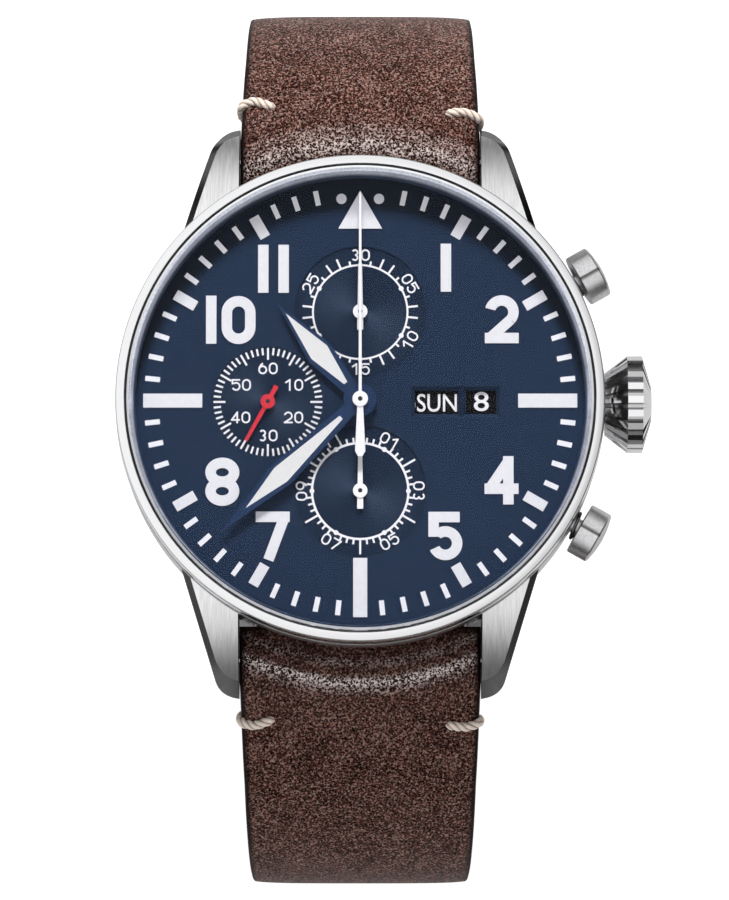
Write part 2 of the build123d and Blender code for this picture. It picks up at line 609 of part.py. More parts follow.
def subdial_numerals():
    low = dial_seat_level + dial_thick - subdial_sink
    pieces = []
    for text, turn in (("30", 0), ("05", 60), ("10", 120), ("15", 180), ("20", 240), ("25", 300)):
        x, y = polar(minute_numeral_radius, 90 - turn, minute_counter_at)
        flip = 180 if text in ("10", "15", "20") else 0
        pieces += number(text, low, x, y, flip - turn)
    for hour in range(1, 12, 2):
        x, y = polar(hour_numeral_radius, 90 - 30 * hour, hour_counter_at)
        flip = 180 if hour in (5, 7) else 0
        pieces += number(f"{hour:02d}", low, x, y, flip - 30 * hour)
    for text, x, y in seconds_numerals:
        pieces += number(text, low, seconds_at[0] + x, seconds_at[1] + y)
    return pieces


def hand(side, low, turn, at=(0, 0), thick=hand_thick):
    """Flat hand from the half outline of one side, turned clockwise from 12 o'clock."""
    points = [(x, y) for x, y in side] + [(-x, y) for x, y in reversed(side) if x]
    flat = extrude(make_face(Polyline(*points, close=True)), amount=thick)
    return Pos(at[0], at[1], level(low)) * (Rot(0, 0, -turn) * flat)


def hour_hand():
    body = hand(hour_hand_side, hour_hand_level, hour_hand_turn)
    body += disc(hour_hub, hour_hand_level, hour_hand_level + hand_thick)
    body -= hand(hour_lume_side, hour_hand_level - hand_thick, hour_hand_turn, thick=3 * hand_thick)
    return body - disc(hour_pipe_out, 0, overrun)


def minute_hand():
    body = hand(minute_hand_side, minute_hand_level, minute_hand_turn)
    body += disc(minute_hub, minute_hand_level, minute_hand_level + hand_thick)
    body -= hand(minute_lume_side, minute_hand_level - hand_thick, minute_hand_turn, thick=3 * hand_thick)
    return body - disc(cannon_out, 0, overrun)


def hand_lume(side, low, turn):
    return hand(side, low, turn)


def chrono_seconds_hand():
    body = hand(chrono_hand_side, chrono_hand_level, 0)
    body += disc(chrono_hub, chrono_hand_level, chrono_hand_level + hub_thick)
    return body - disc(chrono_arbor, 0, overrun)


def counter_hand(side, at, turn):
    body = hand(side, counter_hand_level, turn, at)
    body += disc(counter_hub, counter_hand_level, counter_hand_level + hub_thick, at)
    return body - disc(arbor_radius, 0, overrun, at)


def toothed_ring(out, bore, teeth, tooth, low, high, at):
    body = disc(out, low, high, at)
    points = []
    for index in range(teeth):
        for share, radius in zip(tooth_shares, (bore, bore - tooth, bore - tooth, bore)):
            points.append(polar(radius, (index + share) * 360 / teeth, at))
    return body - slab(points, low - overrun, high + overrun)


def date_disc():
    return toothed_ring(date_out, date_in, date_teeth, date_tooth, disc_low, disc_high, (0, 0))


def day_disc():
    return toothed_ring(day_out, day_in + day_tooth, day_teeth, day_tooth, disc_low, disc_high, day_at)


def mainplate():
    body = disc(plate_radius, plate_low, plate_high)
    body -= disc(motion_recess, recess_level, overrun)
    body -= disc(motion_recess, recess_level, overrun, minute_wheel_at)
    body -= disc(counter_recess, recess_level, overrun, hour_counter_at)
    body += disc(arbor_radius, recess_level - seat_gap, minute_pinion_high + seat_gap, minute_wheel_at)
    body -= disc(centre_tube_out + pivot_gap, 0, overrun)
    for at in (seconds_at, minute_counter_at):
        body -= disc(arbor_radius + pivot_gap, 0, overrun, at)
    body -= disc(arbor_radius + pivot_gap, arbor_end_level, overrun, hour_counter_at)
    for at in (third_at, escape_at, pallet_at, balance_at):
        body -= disc(arbor_radius + pivot_gap, plate_low - overrun, arbor_end_level, at)
    body -= radial_rod(stem_radius + pivot_gap, stem_in - seat_gap, overrun)
    middle = stem_groove_x + stem_groove_width / 2 + lever_size[0] / 4
    body -= box((middle - lever_pocket[0] / 2, middle + lever_pocket[0] / 2),
                (-lever_pocket[1] / 2, lever_pocket[1] / 2), stem_level - lever_gap,
                stem_level + stem_radius + 2 * lever_gap + lever_size[2])
    for at in bridge_pillars + (cock_pillar,):
        body -= disc(screw_radius, 0, arbor_end_level, at)
    return body


def movement_ring():
    body = ring(ring_radius, ring_bore, ring_low, dial_seat_level)
    body -= radial_rod(stem_passage_radius, 0, crown_tube_in)
    body -= radial_rod(crown_tube_radius + seat_gap, crown_tube_in, overrun)
    for angle in (pusher_angle_top, pusher_angle_low):
        body -= radial_rod(stem_passage_radius, 0, overrun, angle)
        body -= radial_rod(pusher_tube_radius + seat_gap, pusher_tube_in - seat_gap, overrun, angle)
    return body


def screw(at, low, high, head_radius, radius=screw_radius, head=screw_head_high):
    """Slotted screw standing on its head, the head towards the back."""
    body = disc(head_radius, low - head, low, at) + disc(radius, low, high, at)
    slot = box((at[0] - overrun, at[0] + overrun), (at[1] - screw_slot / 2, at[1] + screw_slot / 2),
               low - head - overrun, low - head / 2)
    return body - slot


def train_bridge():
    """Three-armed bridge that carries the lower pivots of the train and the barrel."""
    body = disc(bridge_boss, bridge_low, bridge_high)
    for at in bridge_pillars:
        body += bar((0, 0), at, 2 * bridge_arm, bridge_low, bridge_high - bridge_low)
        body += disc(bridge_boss, bridge_low, bridge_high, at)
        body += disc(pillar_radius, bridge_high - seat_gap, plate_low, at)
    for at in (barrel_at, third_at, seconds_at, escape_at):
        body += disc(bridge_boss, bridge_low, bridge_high, at)
        body += bar((0, 0) if at != escape_at else seconds_at, at, 2 * bridge_arm, bridge_low,
                    bridge_high - bridge_low)
    body -= disc(centre_tube_out + pivot_gap, 0, overrun)
    body -= disc(barrel_arbor / 2 + pivot_gap, 0, overrun, barrel_at)
    for at in (third_at, seconds_at, escape_at):
        body -= disc(jewel_radius, 0, overrun, at)
    for at in bridge_pillars:
        body -= disc(screw_radius, 0, overrun, at)
        body -= disc(screw_head_radius + seat_gap, 0, bridge_low + screw_head_high, at)
    minute_post = disc(arbor_radius + pivot_gap, 0, overrun, minute_counter_at)
    return body - minute_post


def balance_cock():
    body = disc(bridge_boss, bridge_low, bridge_high, balance_at)
    body += disc(bridge_boss, bridge_low, bridge_high, cock_pillar)
    body += disc(pillar_radius, bridge_high - seat_gap, plate_low, cock_pillar)
    body += bar(balance_at, cock_pillar, 2 * bridge_arm, bridge_low, bridge_high - bridge_low)
    body += disc(bridge_boss / 2, bridge_low, bridge_high, pallet_at)
    body += bar(balance_at, pallet_at, bridge_arm, bridge_low, bridge_high - bridge_low)
    body -= disc(jewel_radius, -overrun, overrun, balance_at)
    body -= disc(arbor_radius + pivot_gap, -overrun, overrun, pallet_at)
    body -= disc(screw_radius, 0, overrun, cock_pillar)
    return body - disc(screw_head_radius + seat_gap, 0, bridge_low + screw_head_high, cock_pillar)


def bridge_jewels():
    pieces = [ring(jewel_radius, arbor_radius + pivot_gap, bridge_low, bridge_low + jewel_thick, at)
              for at in (third_at, seconds_at, escape_at, balance_at)]
    return Compound(children=pieces)


def bridge_screws():
    pieces = []
    for at in bridge_pillars + (cock_pillar,):
        head = bridge_low + screw_head_high
        pieces.append(screw(at, head, arbor_end_level, screw_head_radius))
    return Compound(children=pieces)


def arbor(at, low, high):
    return disc(arbor_radius, low, high, at)


def centre_wheel():
    body = gear(centre_wheel_pitch, centre_teeth, centre_wheel_low, centre_wheel_high)
    body += gear(centre_pinion_pitch, centre_leaves, centre_pinion_low, centre_pinion_high)
    body += disc(centre_tube_out, bridge_low, cannon_teeth_high)
    for index in range(5):
        body -= disc(centre_wheel_pitch / 5, 0, overrun, polar(centre_wheel_pitch * 0.6, index * 72))
    return body - disc(centre_tube_in, 0, overrun)


def third_wheel():
    body = gear(third_wheel_pitch, third_teeth, third_wheel_low, third_wheel_high, third_at)
    body += gear(third_pinion_pitch, third_leaves, third_wheel_high, third_pinion_high, third_at)
    return body + arbor(third_at, bridge_low, arbor_end_level)


def fourth_wheel():
    body = gear(fourth_wheel_pitch, fourth_teeth, fourth_wheel_low, fourth_wheel_high, seconds_at)
    body += gear(fourth_pinion_pitch, fourth_leaves, fourth_wheel_high, fourth_pinion_high, seconds_at)
    return body + arbor(seconds_at, bridge_low, counter_hand_level + hub_thick)


def escape_wheel():
    points = []
    for index in range(escape_teeth):
        for share, radius in ((0, escape_wheel_root), (0.55, escape_wheel_radius),
                              (0.65, escape_wheel_radius), (0.75, escape_wheel_root)):
            points.append(polar(radius, (index + share) * 360 / escape_teeth, escape_at))
    body = slab(points, escape_wheel_low, escape_wheel_high)
    body += gear(escape_pinion_pitch, escape_leaves, train_low, escape_pinion_high, escape_at)
    return body + arbor(escape_at, bridge_low, arbor_end_level)


def pallet_fork():
    """Lever with two stones towards the escape wheel and a fork towards the balance."""
    away = math.degrees(math.atan2(pallet_at[1] - escape_at[1], pallet_at[0] - escape_at[0]))
    thick = escape_wheel_high - escape_wheel_low
    ends = [polar(pallet_arm, away + side * 90, pallet_at) for side in (1, -1)]
    body = bar(ends[0], ends[1], pallet_width, escape_wheel_low, thick)
    for end in ends:
        body += bar(end, polar(pallet_stone, away + 180, end), pallet_width, escape_wheel_low, thick)
    body += bar(pallet_at, polar(pallet_fork_end, away, pallet_at), pallet_width, escape_wheel_low, thick)
    return body + arbor(pallet_at, bridge_low, arbor_end_level)


def balance_wheel():
    rim = ring(balance_radius, balance_radius - balance_rim, balance_low, balance_high, balance_at)
    spokes = (balance_low + balance_high) / 2
    reach = balance_radius - balance_rim / 2
    for angle in (45, 135):
        rim += bar(polar(reach, angle, balance_at), polar(reach, angle + 180, balance_at),
                   balance_rim, spokes, balance_high - spokes)
    rim += disc(roller_radius, roller_low, roller_high, balance_at)
    return rim + arbor(balance_at, bridge_low, arbor_end_level)


def hairspring():
    return spiral(hairspring_in, hairspring_out, hairspring_turns, hairspring_wire, hairspring_low, hairspring_high,
                  balance_at)


def barrel():
    body = gear(barrel_pitch, barrel_teeth, barrel_low, barrel_teeth_high, barrel_at)
    body += disc(barrel_drum, barrel_low, barrel_high, barrel_at)
    return body + disc(barrel_arbor / 2, bridge_low, plate_low, barrel_at)


def cannon_pinion():
    body = gear(cannon_pitch, cannon_teeth, cannon_low, cannon_teeth_high)
    body += disc(cannon_out, cannon_low, minute_hand_level + hand_thick)
    return body - disc(cannon_in, 0, overrun)


def minute_wheel():
    body = gear(minute_wheel_pitch, minute_teeth, minute_wheel_low, minute_wheel_high, minute_wheel_at)
    body += gear(minute_pinion_pitch, minute_leaves, minute_wheel_high, minute_pinion_high, minute_wheel_at)
    return body - disc(arbor_radius + pivot_gap, 0, overrun, minute_wheel_at)


def hour_wheel():
    body = gear(hour_wheel_pitch, hour_teeth, hour_wheel_low, hour_wheel_high)
    body += disc(hour_pipe_out, hour_wheel_low, hour_hand_level + hand_thick)
    return body - disc(hour_pipe_in, 0, overrun)


def chrono_seconds_wheel():
    body = gear(chrono_wheel_pitch, chrono_teeth, chrono_wheel_low, chrono_wheel_high)
    return body + disc(chrono_arbor, chrono_wheel_low, chrono_hand_level + hub_thick)


def minute_counter_wheel():
    body = gear(minute_counter_pitch, counter_teeth, chrono_wheel_low, chrono_wheel_high, minute_counter_at)
    return body + arbor(minute_counter_at, chrono_wheel_low, counter_hand_level + hub_thick)


def hour_counter_wheel():
    body = gear(minute_counter_pitch, counter_teeth, counter_wheel_low, counter_wheel_high, hour_counter_at)
    return body + arbor(hour_counter_at, arbor_end_level, counter_hand_level + hub_thick)


def automatic_bridge():
    """Bar across the back of the movement that carries the bearing of the rotor."""
    body = box((-auto_bridge_end, auto_bridge_end), (-auto_bridge_half, auto_bridge_half),
               auto_bridge_low, auto_bridge_high)
    for at in auto_posts:
        body += disc(auto_post_radius, auto_bridge_low, bridge_low, at)
    body += bar((auto_bridge_end, 0), auto_posts[0], 2 * auto_post_radius, auto_bridge_low,
                auto_bridge_high - auto_bridge_low)
    body &= disc(plate_radius - seat_gap, auto_bridge_low, bridge_low)
    body -= disc(screw_radius, auto_bridge_high, overrun, auto_posts[0])
    body += disc(bearing_radius, bearing_low, auto_bridge_low)
    return body + disc(bearing_flange, bearing_low - bearing_lip, bearing_low)


def rotor():
    half = box((-overrun, overrun), (-overrun, 0), -overrun, overrun)
    plate = disc(rotor_radius, rotor_plate_low, rotor_plate_high)
    for start in (200, 245, 290):
        window = ring(rotor_window_out, rotor_window_in, rotor_plate_low - seat_gap,
                      rotor_plate_high + seat_gap)
        wedge = slab(((0, 0), polar(overrun, start), polar(overrun, start + 38)), 0, overrun)
        plate -= window & wedge
    body = (plate & half) + disc(rotor_hub_radius, rotor_plate_low, rotor_plate_high)
    weight = ring(rotor_radius, rotor_weight_in, rotor_weight_low, rotor_weight_high)
    body += weight & half
    return body - disc(rotor_bore, 0, overrun)


def strap_sides(path):
    """Outer and inner sides of a strap half, from its middle line and thickness."""
    middle = Spline(*[(0, y, z) for y, z, thick in path])
    shares = [middle.param_at_point((0, y, z)) for y, z, thick in path]
    plus, minus = [], []
    for index in range(strap_samples + 1):
        share = index / strap_samples
        spot, along = middle @ share, middle % share
        upper = next((i for i, known in enumerate(shares) if known >= share), len(shares) - 1)
        lower = max(upper - 1, 0)
        span = shares[upper] - shares[lower]
        mix = (share - shares[lower]) / span if span > 0 else 0
        thick = path[lower][2] + (path[upper][2] - path[lower][2]) * mix
        plus.append((spot.Y - along.Z * thick / 2, spot.Z + along.Y * thick / 2))
        minus.append((spot.Y + along.Z * thick / 2, spot.Z - along.Y * thick / 2))
    return plus, minus


def strap_body(path):
    plus, minus = strap_sides(path)
    outer, inner = Plane.YZ * Spline(*plus), Plane.YZ * Spline(*minus)
    ends = [Line(outer @ 0, inner @ 0), Line(outer @ 1, inner @ 1)]
    face = make_face([outer, inner] + ends)
    body = extrude(face, amount=overrun, dir=(1, 0, 0), both=True)
    side = ((strap_narrow_half, -overrun), (strap_narrow_half, strap_narrow_z),
            (strap_wide_half, strap_wide_z), (strap_wide_half, 2 * overrun))
    outline = list(side) + [(-x, z) for x, z in reversed(side)]
    taper = extrude(make_face(Plane.XZ * Polyline(*outline, close=True)), amount=overrun, both=True)
    return body & taper


def strap_buckle_half():
    y, z = buckle_bar_at
    body = strap_body(strap_12_path) + cross_rod(buckle_loop_radius, strap_narrow_half, y, z)
    body -= cross_rod(buckle_loop_bore, overrun, y, z)
    body -= cross_rod(strap_bar_bore, overrun, spring_bar_y, level(spring_bar_level))
    slot = Box(2 * tongue_slot_half, 4 * buckle_loop_radius, 4 * buckle_loop_radius)
    return body - Pos(0, y - buckle_loop_radius / 2, z) * slot


def strap_hole_half():
    body = strap_body(strap_6_path)
    body -= cross_rod(strap_bar_bore, overrun, -spring_bar_y, level(spring_bar_level))
    for y in hole_places:
        hole = Cylinder(hole_half, 2 * buckle_bar_at[1])
        body -= Pos(0, y, 0) * hole
    end_y = strap_6_path[-1][0] + strap_6_path[-1][2]
    for side in (1, -1):
        x = side * (strap_narrow_half + stitch_clear)
        corner = ((x, end_y - strap_tip_corner * 1.6), (x, end_y + strap_tip_corner),
                  (x - side * strap_tip_corner * 2, end_y + strap_tip_corner))
        prism = extrude(make_face(Polyline(*corner, close=True)), amount=2 * buckle_bar_at[1])
        body -= prism
    return body


def stitch_pair(path, share):
    """Thick thread round each edge of the strap, one to the left and one to the right."""
    middle = Spline(*[(0, y, z) for y, z, thick in path])
    spot, along = middle @ share, middle % share
    plus, minus = strap_sides(path)
    index = round(share * strap_samples)
    deep = math.dist(plus[index], minus[index]) + 2 * stitch_clear
    frame = Plane(origin=(0, spot.Y, spot.Z), x_dir=(1, 0, 0), z_dir=(0, along.Y, along.Z))
    wide = strap_wide_half + stitch_clear
    outer = Box(2 * (wide + stitch_thick), deep + 2 * stitch_thick, stitch_wide)
    inner = Box(2 * wide, deep, overrun)
    middle_cut = Box(2 * (wide - stitch_reach), overrun, overrun)
    body = frame * (outer - inner - middle_cut)
    return list(body.solids())


def spring_bar(y, z, tip_half, half, radius, tip_radius):
    return cross_rod(radius, half, y, z) + cross_rod(tip_radius, tip_half, y, z)


def buckle_frame():
    (back_y, back_z), (front_y, front_z) = buckle_bar_at, buckle_front_at
    slope = math.atan2(front_z - back_z, front_y - back_y)
    side_y, side_z = -math.sin(slope), math.cos(slope)
    outline = [(back_y + side_y * buckle_arm_radius, back_z + side_z * buckle_arm_radius),
               (front_y + side_y * buckle_front_radius, front_z + side_z * buckle_front_radius),
               (front_y - side_y * buckle_front_radius, front_z - side_z * buckle_front_radius),
               (back_y - side_y * buckle_arm_radius, back_z - side_z * buckle_arm_radius)]
    body = side_slab(outline, buckle_arm_out)
    body += cross_rod(buckle_arm_radius, buckle_arm_out, back_y, back_z)
    body += cross_rod(buckle_front_radius, buckle_arm_out, front_y, front_z)
    inner = Pos(0, (back_y + front_y) / 2, back_z) * Box(
        2 * buckle_arm_in, abs(back_y - front_y) + 4 * buckle_arm_radius, overrun)
    body -= inner - cross_rod(buckle_front_radius, buckle_arm_out, front_y, front_z)
    body -= cross_rod(buckle_bar_radius * 0.65, buckle_bar_half + seat_gap, back_y, back_z)
    notch = Pos(0, front_y, buckle_notch_high - overrun / 2) * Box(
        2 * buckle_notch_half, 4 * buckle_front_radius, overrun)
    return body - notch


def buckle_tongue():
    y, z = buckle_bar_at
    body = cross_rod(tongue_ring, tongue_half, y, z)
    for start, end in zip(tongue_line, tongue_line[1:]):
        long = math.dist(start, end)
        angle = math.degrees(math.atan2(end[1] - start[1], end[0] - start[0]))
        link = Rot(angle, 0, 0) * Box(2 * tongue_half, long, tongue_thick)
        body += Pos(0, (start[0] + end[0]) / 2, (start[1] + end[1]) / 2) * link
        body += cross_rod(tongue_thick / 2, tongue_half, end[0], end[1])
    return body - cross_rod(tongue_bore, overrun, y, z)


def keeper(y):
    """Leather band round both layers of the strap, flat underneath."""
    low, high = keeper_in_low - keeper_thick, keeper_in_high + keeper_thick
    half = keeper_in_half + keeper_thick
    middle = (low + high) / 2
    flat = RectangleRounded(2 * half, high - low, keeper_corner)
    flat -= Rectangle(2 * keeper_in_half, keeper_in_high - keeper_in_low)
    body = extrude(Plane.XZ * flat, amount=(y[1] - y[0]) / 2, both=True)
    return Pos(0, (y[0] + y[1]) / 2, middle) * body


def dial_print():
    """All printed lines and small numbers: the minute track and the three subdials."""
    return Compound(children=minute_ticks() + subdial_scales() + subdial_numerals())


def pair(make, first, second):
    """One node out of two like pieces."""
    return Compound(children=[make(*first), make(*second)])


def edge_stitches():
    left = stitch_pair(strap_12_path, stitch_places[0])
    return Compound(children=left + stitch_pair(strap_6_path, stitch_places[1]))


def lug_spring_bar(side):
    return spring_bar(side * spring_bar_y, level(spring_bar_level), spring_bar_tip_half,
                      spring_bar_half, spring_bar_radius, spring_bar_tip_radius)


def buckle_spring_bar():
    y, z = buckle_bar_at
    return spring_bar(y, z, buckle_bar_half, strap_narrow_half, buckle_bar_radius,
                      buckle_bar_radius * bar_tip_share)


nodes = (
    ("case_middle", case_middle),
    ("bezel", bezel),
    ("crystal", crystal),
    ("crystal_gasket", crystal_gasket),
    ("rehaut", rehaut),
    ("case_back", case_back),
    ("back_glass", back_glass),
    ("crown", crown),
    ("winding_stem", winding_stem),
    ("setting_lever", setting_lever),
    ("crown_tube", crown_tube),
    ("pusher_top", pusher, pusher_angle_top),
    ("pusher_low", pusher, pusher_angle_low),
    ("pusher_tubes", pair, pusher_tube, (pusher_angle_top,), (pusher_angle_low,)),
    ("pusher_springs", pair, pusher_spring, (pusher_angle_top,), (pusher_angle_low,)),
    ("dial", dial),
    ("hour_markers", hour_markers),
    ("dial_numerals", dial_numerals),
    ("dial_print", dial_print),
    ("hour_hand", hour_hand),
    ("hour_hand_lume", hand_lume, hour_lume_side, hour_hand_level, hour_hand_turn),
    ("minute_hand", minute_hand),
    ("minute_hand_lume", hand_lume, minute_lume_side, minute_hand_level, minute_hand_turn),
    ("chrono_seconds_hand", chrono_seconds_hand),
    ("minute_counter_hand", counter_hand, counter_hand_side, minute_counter_at, 0),
    ("hour_counter_hand", counter_hand, counter_hand_side, hour_counter_at, 0),
    ("small_seconds_hand", counter_hand, seconds_hand_side, seconds_at, small_seconds_turn),
    ("date_disc", date_disc),
    ("day_disc", day_disc),
    ("mainplate", mainplate),
    ("movement_ring", movement_ring),
    ("train_bridge", train_bridge),
    ("balance_cock", balance_cock),
    ("bridge_jewels", bridge_jewels),
    ("bridge_screws", bridge_screws),
    ("centre_wheel", centre_wheel),
    ("third_wheel", third_wheel),
    ("fourth_wheel", fourth_wheel),
    ("escape_wheel", escape_wheel),
    ("pallet_fork", pallet_fork),
    ("balance_wheel", balance_wheel),
    ("hairspring", hairspring),
    ("barrel", barrel),
    ("cannon_pinion", cannon_pinion),
    ("minute_wheel", minute_wheel),
    ("hour_wheel", hour_wheel),
    ("chrono_seconds_wheel", chrono_seconds_wheel),
    ("minute_counter_wheel", minute_counter_wheel),
    ("hour_counter_wheel", hour_counter_wheel),
    ("automatic_bridge", automatic_bridge),
    ("rotor", rotor),
    ("strap_buckle_half", strap_buckle_half),
    ("strap_hole_half", strap_hole_half),
    ("edge_stitches", edge_stitches),
    ("lug_spring_bars", pair, lug_spring_bar, (1,), (-1,)),
    ("buckle_spring_bar", buckle_spring_bar),
    ("buckle_frame", buckle_frame),
    ("buckle_tongue", buckle_tongue),
    ("fixed_keeper", keeper, fixed_keeper_y),
    ("loose_keeper", keeper, loose_keeper_y),
)

for name, make, *values in nodes:
    export_step(make(*values), f"parts/{name}.step")
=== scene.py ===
# %% [markdown]
# # A pilot chronograph on a leather strap
#
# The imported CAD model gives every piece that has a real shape: case, hands, wheels, buckle.
# This notebook dresses it. The pieces whose highlights or folds matter (case ring, lugs, bezel,
# crystal, crown, pushers, strap, stitches) are rebuilt as smooth numpy surfaces in the same place.
# The flat or hidden CAD pieces keep their own mesh and only get a finish.
#
# Lengths are written in millimetres and turned into metres when a mesh is made.

# %% Start
import math

import bpy
import numpy as np
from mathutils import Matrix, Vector


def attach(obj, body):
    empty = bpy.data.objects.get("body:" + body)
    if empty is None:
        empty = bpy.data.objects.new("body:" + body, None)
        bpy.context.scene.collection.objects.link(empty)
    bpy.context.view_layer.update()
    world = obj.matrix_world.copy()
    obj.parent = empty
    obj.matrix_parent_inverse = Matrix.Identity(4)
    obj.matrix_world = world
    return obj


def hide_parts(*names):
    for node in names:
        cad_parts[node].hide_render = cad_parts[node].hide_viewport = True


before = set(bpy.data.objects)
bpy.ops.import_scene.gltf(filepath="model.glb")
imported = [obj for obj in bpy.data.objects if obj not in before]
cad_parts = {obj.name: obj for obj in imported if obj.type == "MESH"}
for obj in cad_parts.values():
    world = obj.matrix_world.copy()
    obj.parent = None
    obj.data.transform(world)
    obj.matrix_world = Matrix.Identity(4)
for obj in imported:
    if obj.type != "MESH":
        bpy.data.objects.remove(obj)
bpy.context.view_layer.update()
MM = 0.001              # one millimetre in metres
LIFT = 41.0             # the case back's underside above the standing plane
CROWN_Z = LIFT + 7.2    # the line on which crown and pushers lie

# %% [markdown]
# ## Small tools for meshes
#
# A mesh is a list of corner points and a list of faces. Most pieces here are grids: rows of
# points whose neighbours are joined by quads. A grid whose columns close is a ring or a tube, and
# a fan of triangles closes its end. Smooth shading with sharp edges above an angle keeps turned
# metal crisp.

# %% Mesh tools
def build(name, verts, faces, sharp=35.0, smooth=True):
    """Mesh object from points in millimetres, faces outward."""
    mesh = bpy.data.meshes.new(name)
    points = (np.asarray(verts, float) * MM).tolist()
    mesh.from_pydata(points, [], [tuple(map(int, f)) for f in faces])
    mesh.validate()
    if smooth:
        mesh.polygons.foreach_set("use_smooth", [True] * len(mesh.polygons))
        mesh.set_sharp_from_angle(angle=math.radians(sharp))
    mesh.update()
    obj = bpy.data.objects.new(name, mesh)
    bpy.context.scene.collection.objects.link(obj)
    return obj


def grid_faces(rows, cols, close_rows=False, close_cols=False, flip=False):
    """Quads of a rows x cols grid of points numbered row by row."""
    r = np.arange(rows if close_rows else rows - 1)
    c = np.arange(cols if close_cols else cols - 1)
    i, j = np.meshgrid(r, c, indexing="ij")
    i2, j2 = (i + 1) % rows, (j + 1) % cols
    corners = [i * cols + j, i2 * cols + j, i2 * cols + j2, i * cols + j2]
    quads = np.stack(corners, -1).reshape(-1, 4)
    return (quads[:, ::-1] if flip else quads).tolist()


def fan(ring, tip, flip=False):
    """Triangles from each side of a closed ring of point numbers to one tip point."""
    here, after = np.asarray(ring), np.roll(ring, -1)
    a, b = (after, here) if flip else (here, after)
    return np.stack([np.full(len(here), tip), a, b], -1).tolist()


def band(ring_a, ring_b):
    """Quads between two closed rings of point numbers."""
    return np.stack([ring_a, ring_b, np.roll(ring_b, -1), np.roll(ring_a, -1)], -1).tolist()


print("a 3 x 4 grid has", len(grid_faces(3, 4)), "quads")

# %% [markdown]
# Whole columns of numbers go in and out of a mesh at once with foreach_get and foreach_set. A
# number stored on each vertex, an attribute, is how a shape tells its material where it is worn.

# %% Mesh numbers
def read(items, what="co"):
    """One row of three numbers for each vertex or face of a mesh."""
    flat = np.zeros(3 * len(items))
    items.foreach_get(what, flat)
    return flat.reshape(-1, 3)


def mark(obj, label, values):
    """Stores one number for each vertex, for a material to read."""
    layer = obj.data.attributes.new(label, "FLOAT", "POINT")
    layer.data.foreach_set("value", np.asarray(values, np.float32).reshape(-1))


def unit(rows):
    """Every row divided by its length."""
    return rows / np.linalg.norm(rows, axis=-1, keepdims=True)


def smooth_step(low, high, x):
    """t = (x - low) / (high - low), held to 0..1, then t^2 (3 - 2 t)."""
    t = np.clip((np.asarray(x) - low) / (high - low), 0, 1)
    return t * t * (3 - 2 * t)


print("halfway up a smooth step:", smooth_step(0, 1, 0.5))

# %% [markdown]
# ## Turned shapes
#
# A lathe makes the bezel, the crystal and the pushers, and so does this notebook: an outline of
# (radius, height) points is spun round the axis. The Screw modifier could do the same, but here
# the points are needed later, to cut the case or to shade a pusher. Real edges are never quite
# sharp, so each corner of an outline is first replaced by a small arc.

# %% Turning tools
def rounded(outline, radius, steps=4, keep=()):
    """Closed outline with an arc for each corner: (1-t)^2 p + 2 t (1-t) corner + t^2 q.

    p and q lie on the two sides, radius away from the corner. Corners in keep stay sharp.
    """
    pts = np.asarray(outline, float)
    out = []
    for k, here in enumerate(pts):
        if k in keep:
            out.append(here)
            continue
        a, b = pts[k - 1] - here, pts[(k + 1) % len(pts)] - here
        la, lb = np.linalg.norm(a), np.linalg.norm(b)
        cut = min(radius, 0.42 * la, 0.42 * lb)
        p, q = here + a / la * cut, here + b / lb * cut
        out += [(1 - t) ** 2 * p + 2 * t * (1 - t) * here + t ** 2 * q
                for t in np.linspace(0, 1, steps + 1)]
    return np.array(out)


def spin_points(outline, count):
    """(r cos a, r sin a, z) for count angles a: one row of the grid for each angle."""
    turn = np.linspace(0, 2 * np.pi, count, endpoint=False)[:, None]
    r, z = outline[:, 0], outline[:, 1]
    x, y = np.cos(turn) * r, np.sin(turn) * r
    return np.stack([x, y, np.broadcast_to(z, x.shape)], -1)


def raise_z(points):
    """From heights above the case back's underside to heights above the standing plane."""
    return np.asarray(points, float) + [0, 0, LIFT]


def along_x(points, angle=0.0):
    """Lays a shape built up +Z out along +X, then turns it round the dial's axis."""
    p = np.asarray(points, float).reshape(-1, 3)
    q = np.stack([p[:, 2], p[:, 1], -p[:, 0]], -1)
    c, s = math.cos(math.radians(angle)), math.sin(math.radians(angle))
    return np.stack([q[:, 0] * c - q[:, 1] * s, q[:, 0] * s + q[:, 1] * c, q[:, 2] + CROWN_Z], -1)


def turned(name, outline, count=256):
    """Closed ring, whose outline never touches the axis: anticlockwise in (radius, height)."""
    verts = spin_points(np.asarray(outline, float), count).reshape(-1, 3)
    return build(name, raise_z(verts), grid_faces(count, len(outline), True, True))


def turned_solid(name, outline, count, place, sharp):
    """Solid of revolution, whose open outline starts and ends on the axis."""
    outline = np.asarray(outline, float)
    n = len(outline) - 2
    p = spin_points(outline[1:-1], count).reshape(-1, 3)
    verts = np.vstack([p, [0, 0, outline[0][1]], [0, 0, outline[-1][1]]])
    first = np.arange(count) * n
    faces = grid_faces(count, n, True, False)
    faces += fan(first, len(p), flip=True) + fan(first + n - 1, len(p) + 1)
    return build(name, place(verts), faces, sharp)


print("a rounded square has", len(rounded([(0, 0), (1, 0), (1, 1), (0, 1)], 0.1)), "points")

# %% [markdown]
# ## Small tools for nodes
#
# A material is a graph of nodes. These helpers make a node, fill its inputs and hand back the
# socket that is wanted next, so that a formula reads in the order in which it is worked out.
# All patterns read Object coordinates, so a pattern stays with its piece when the piece moves.

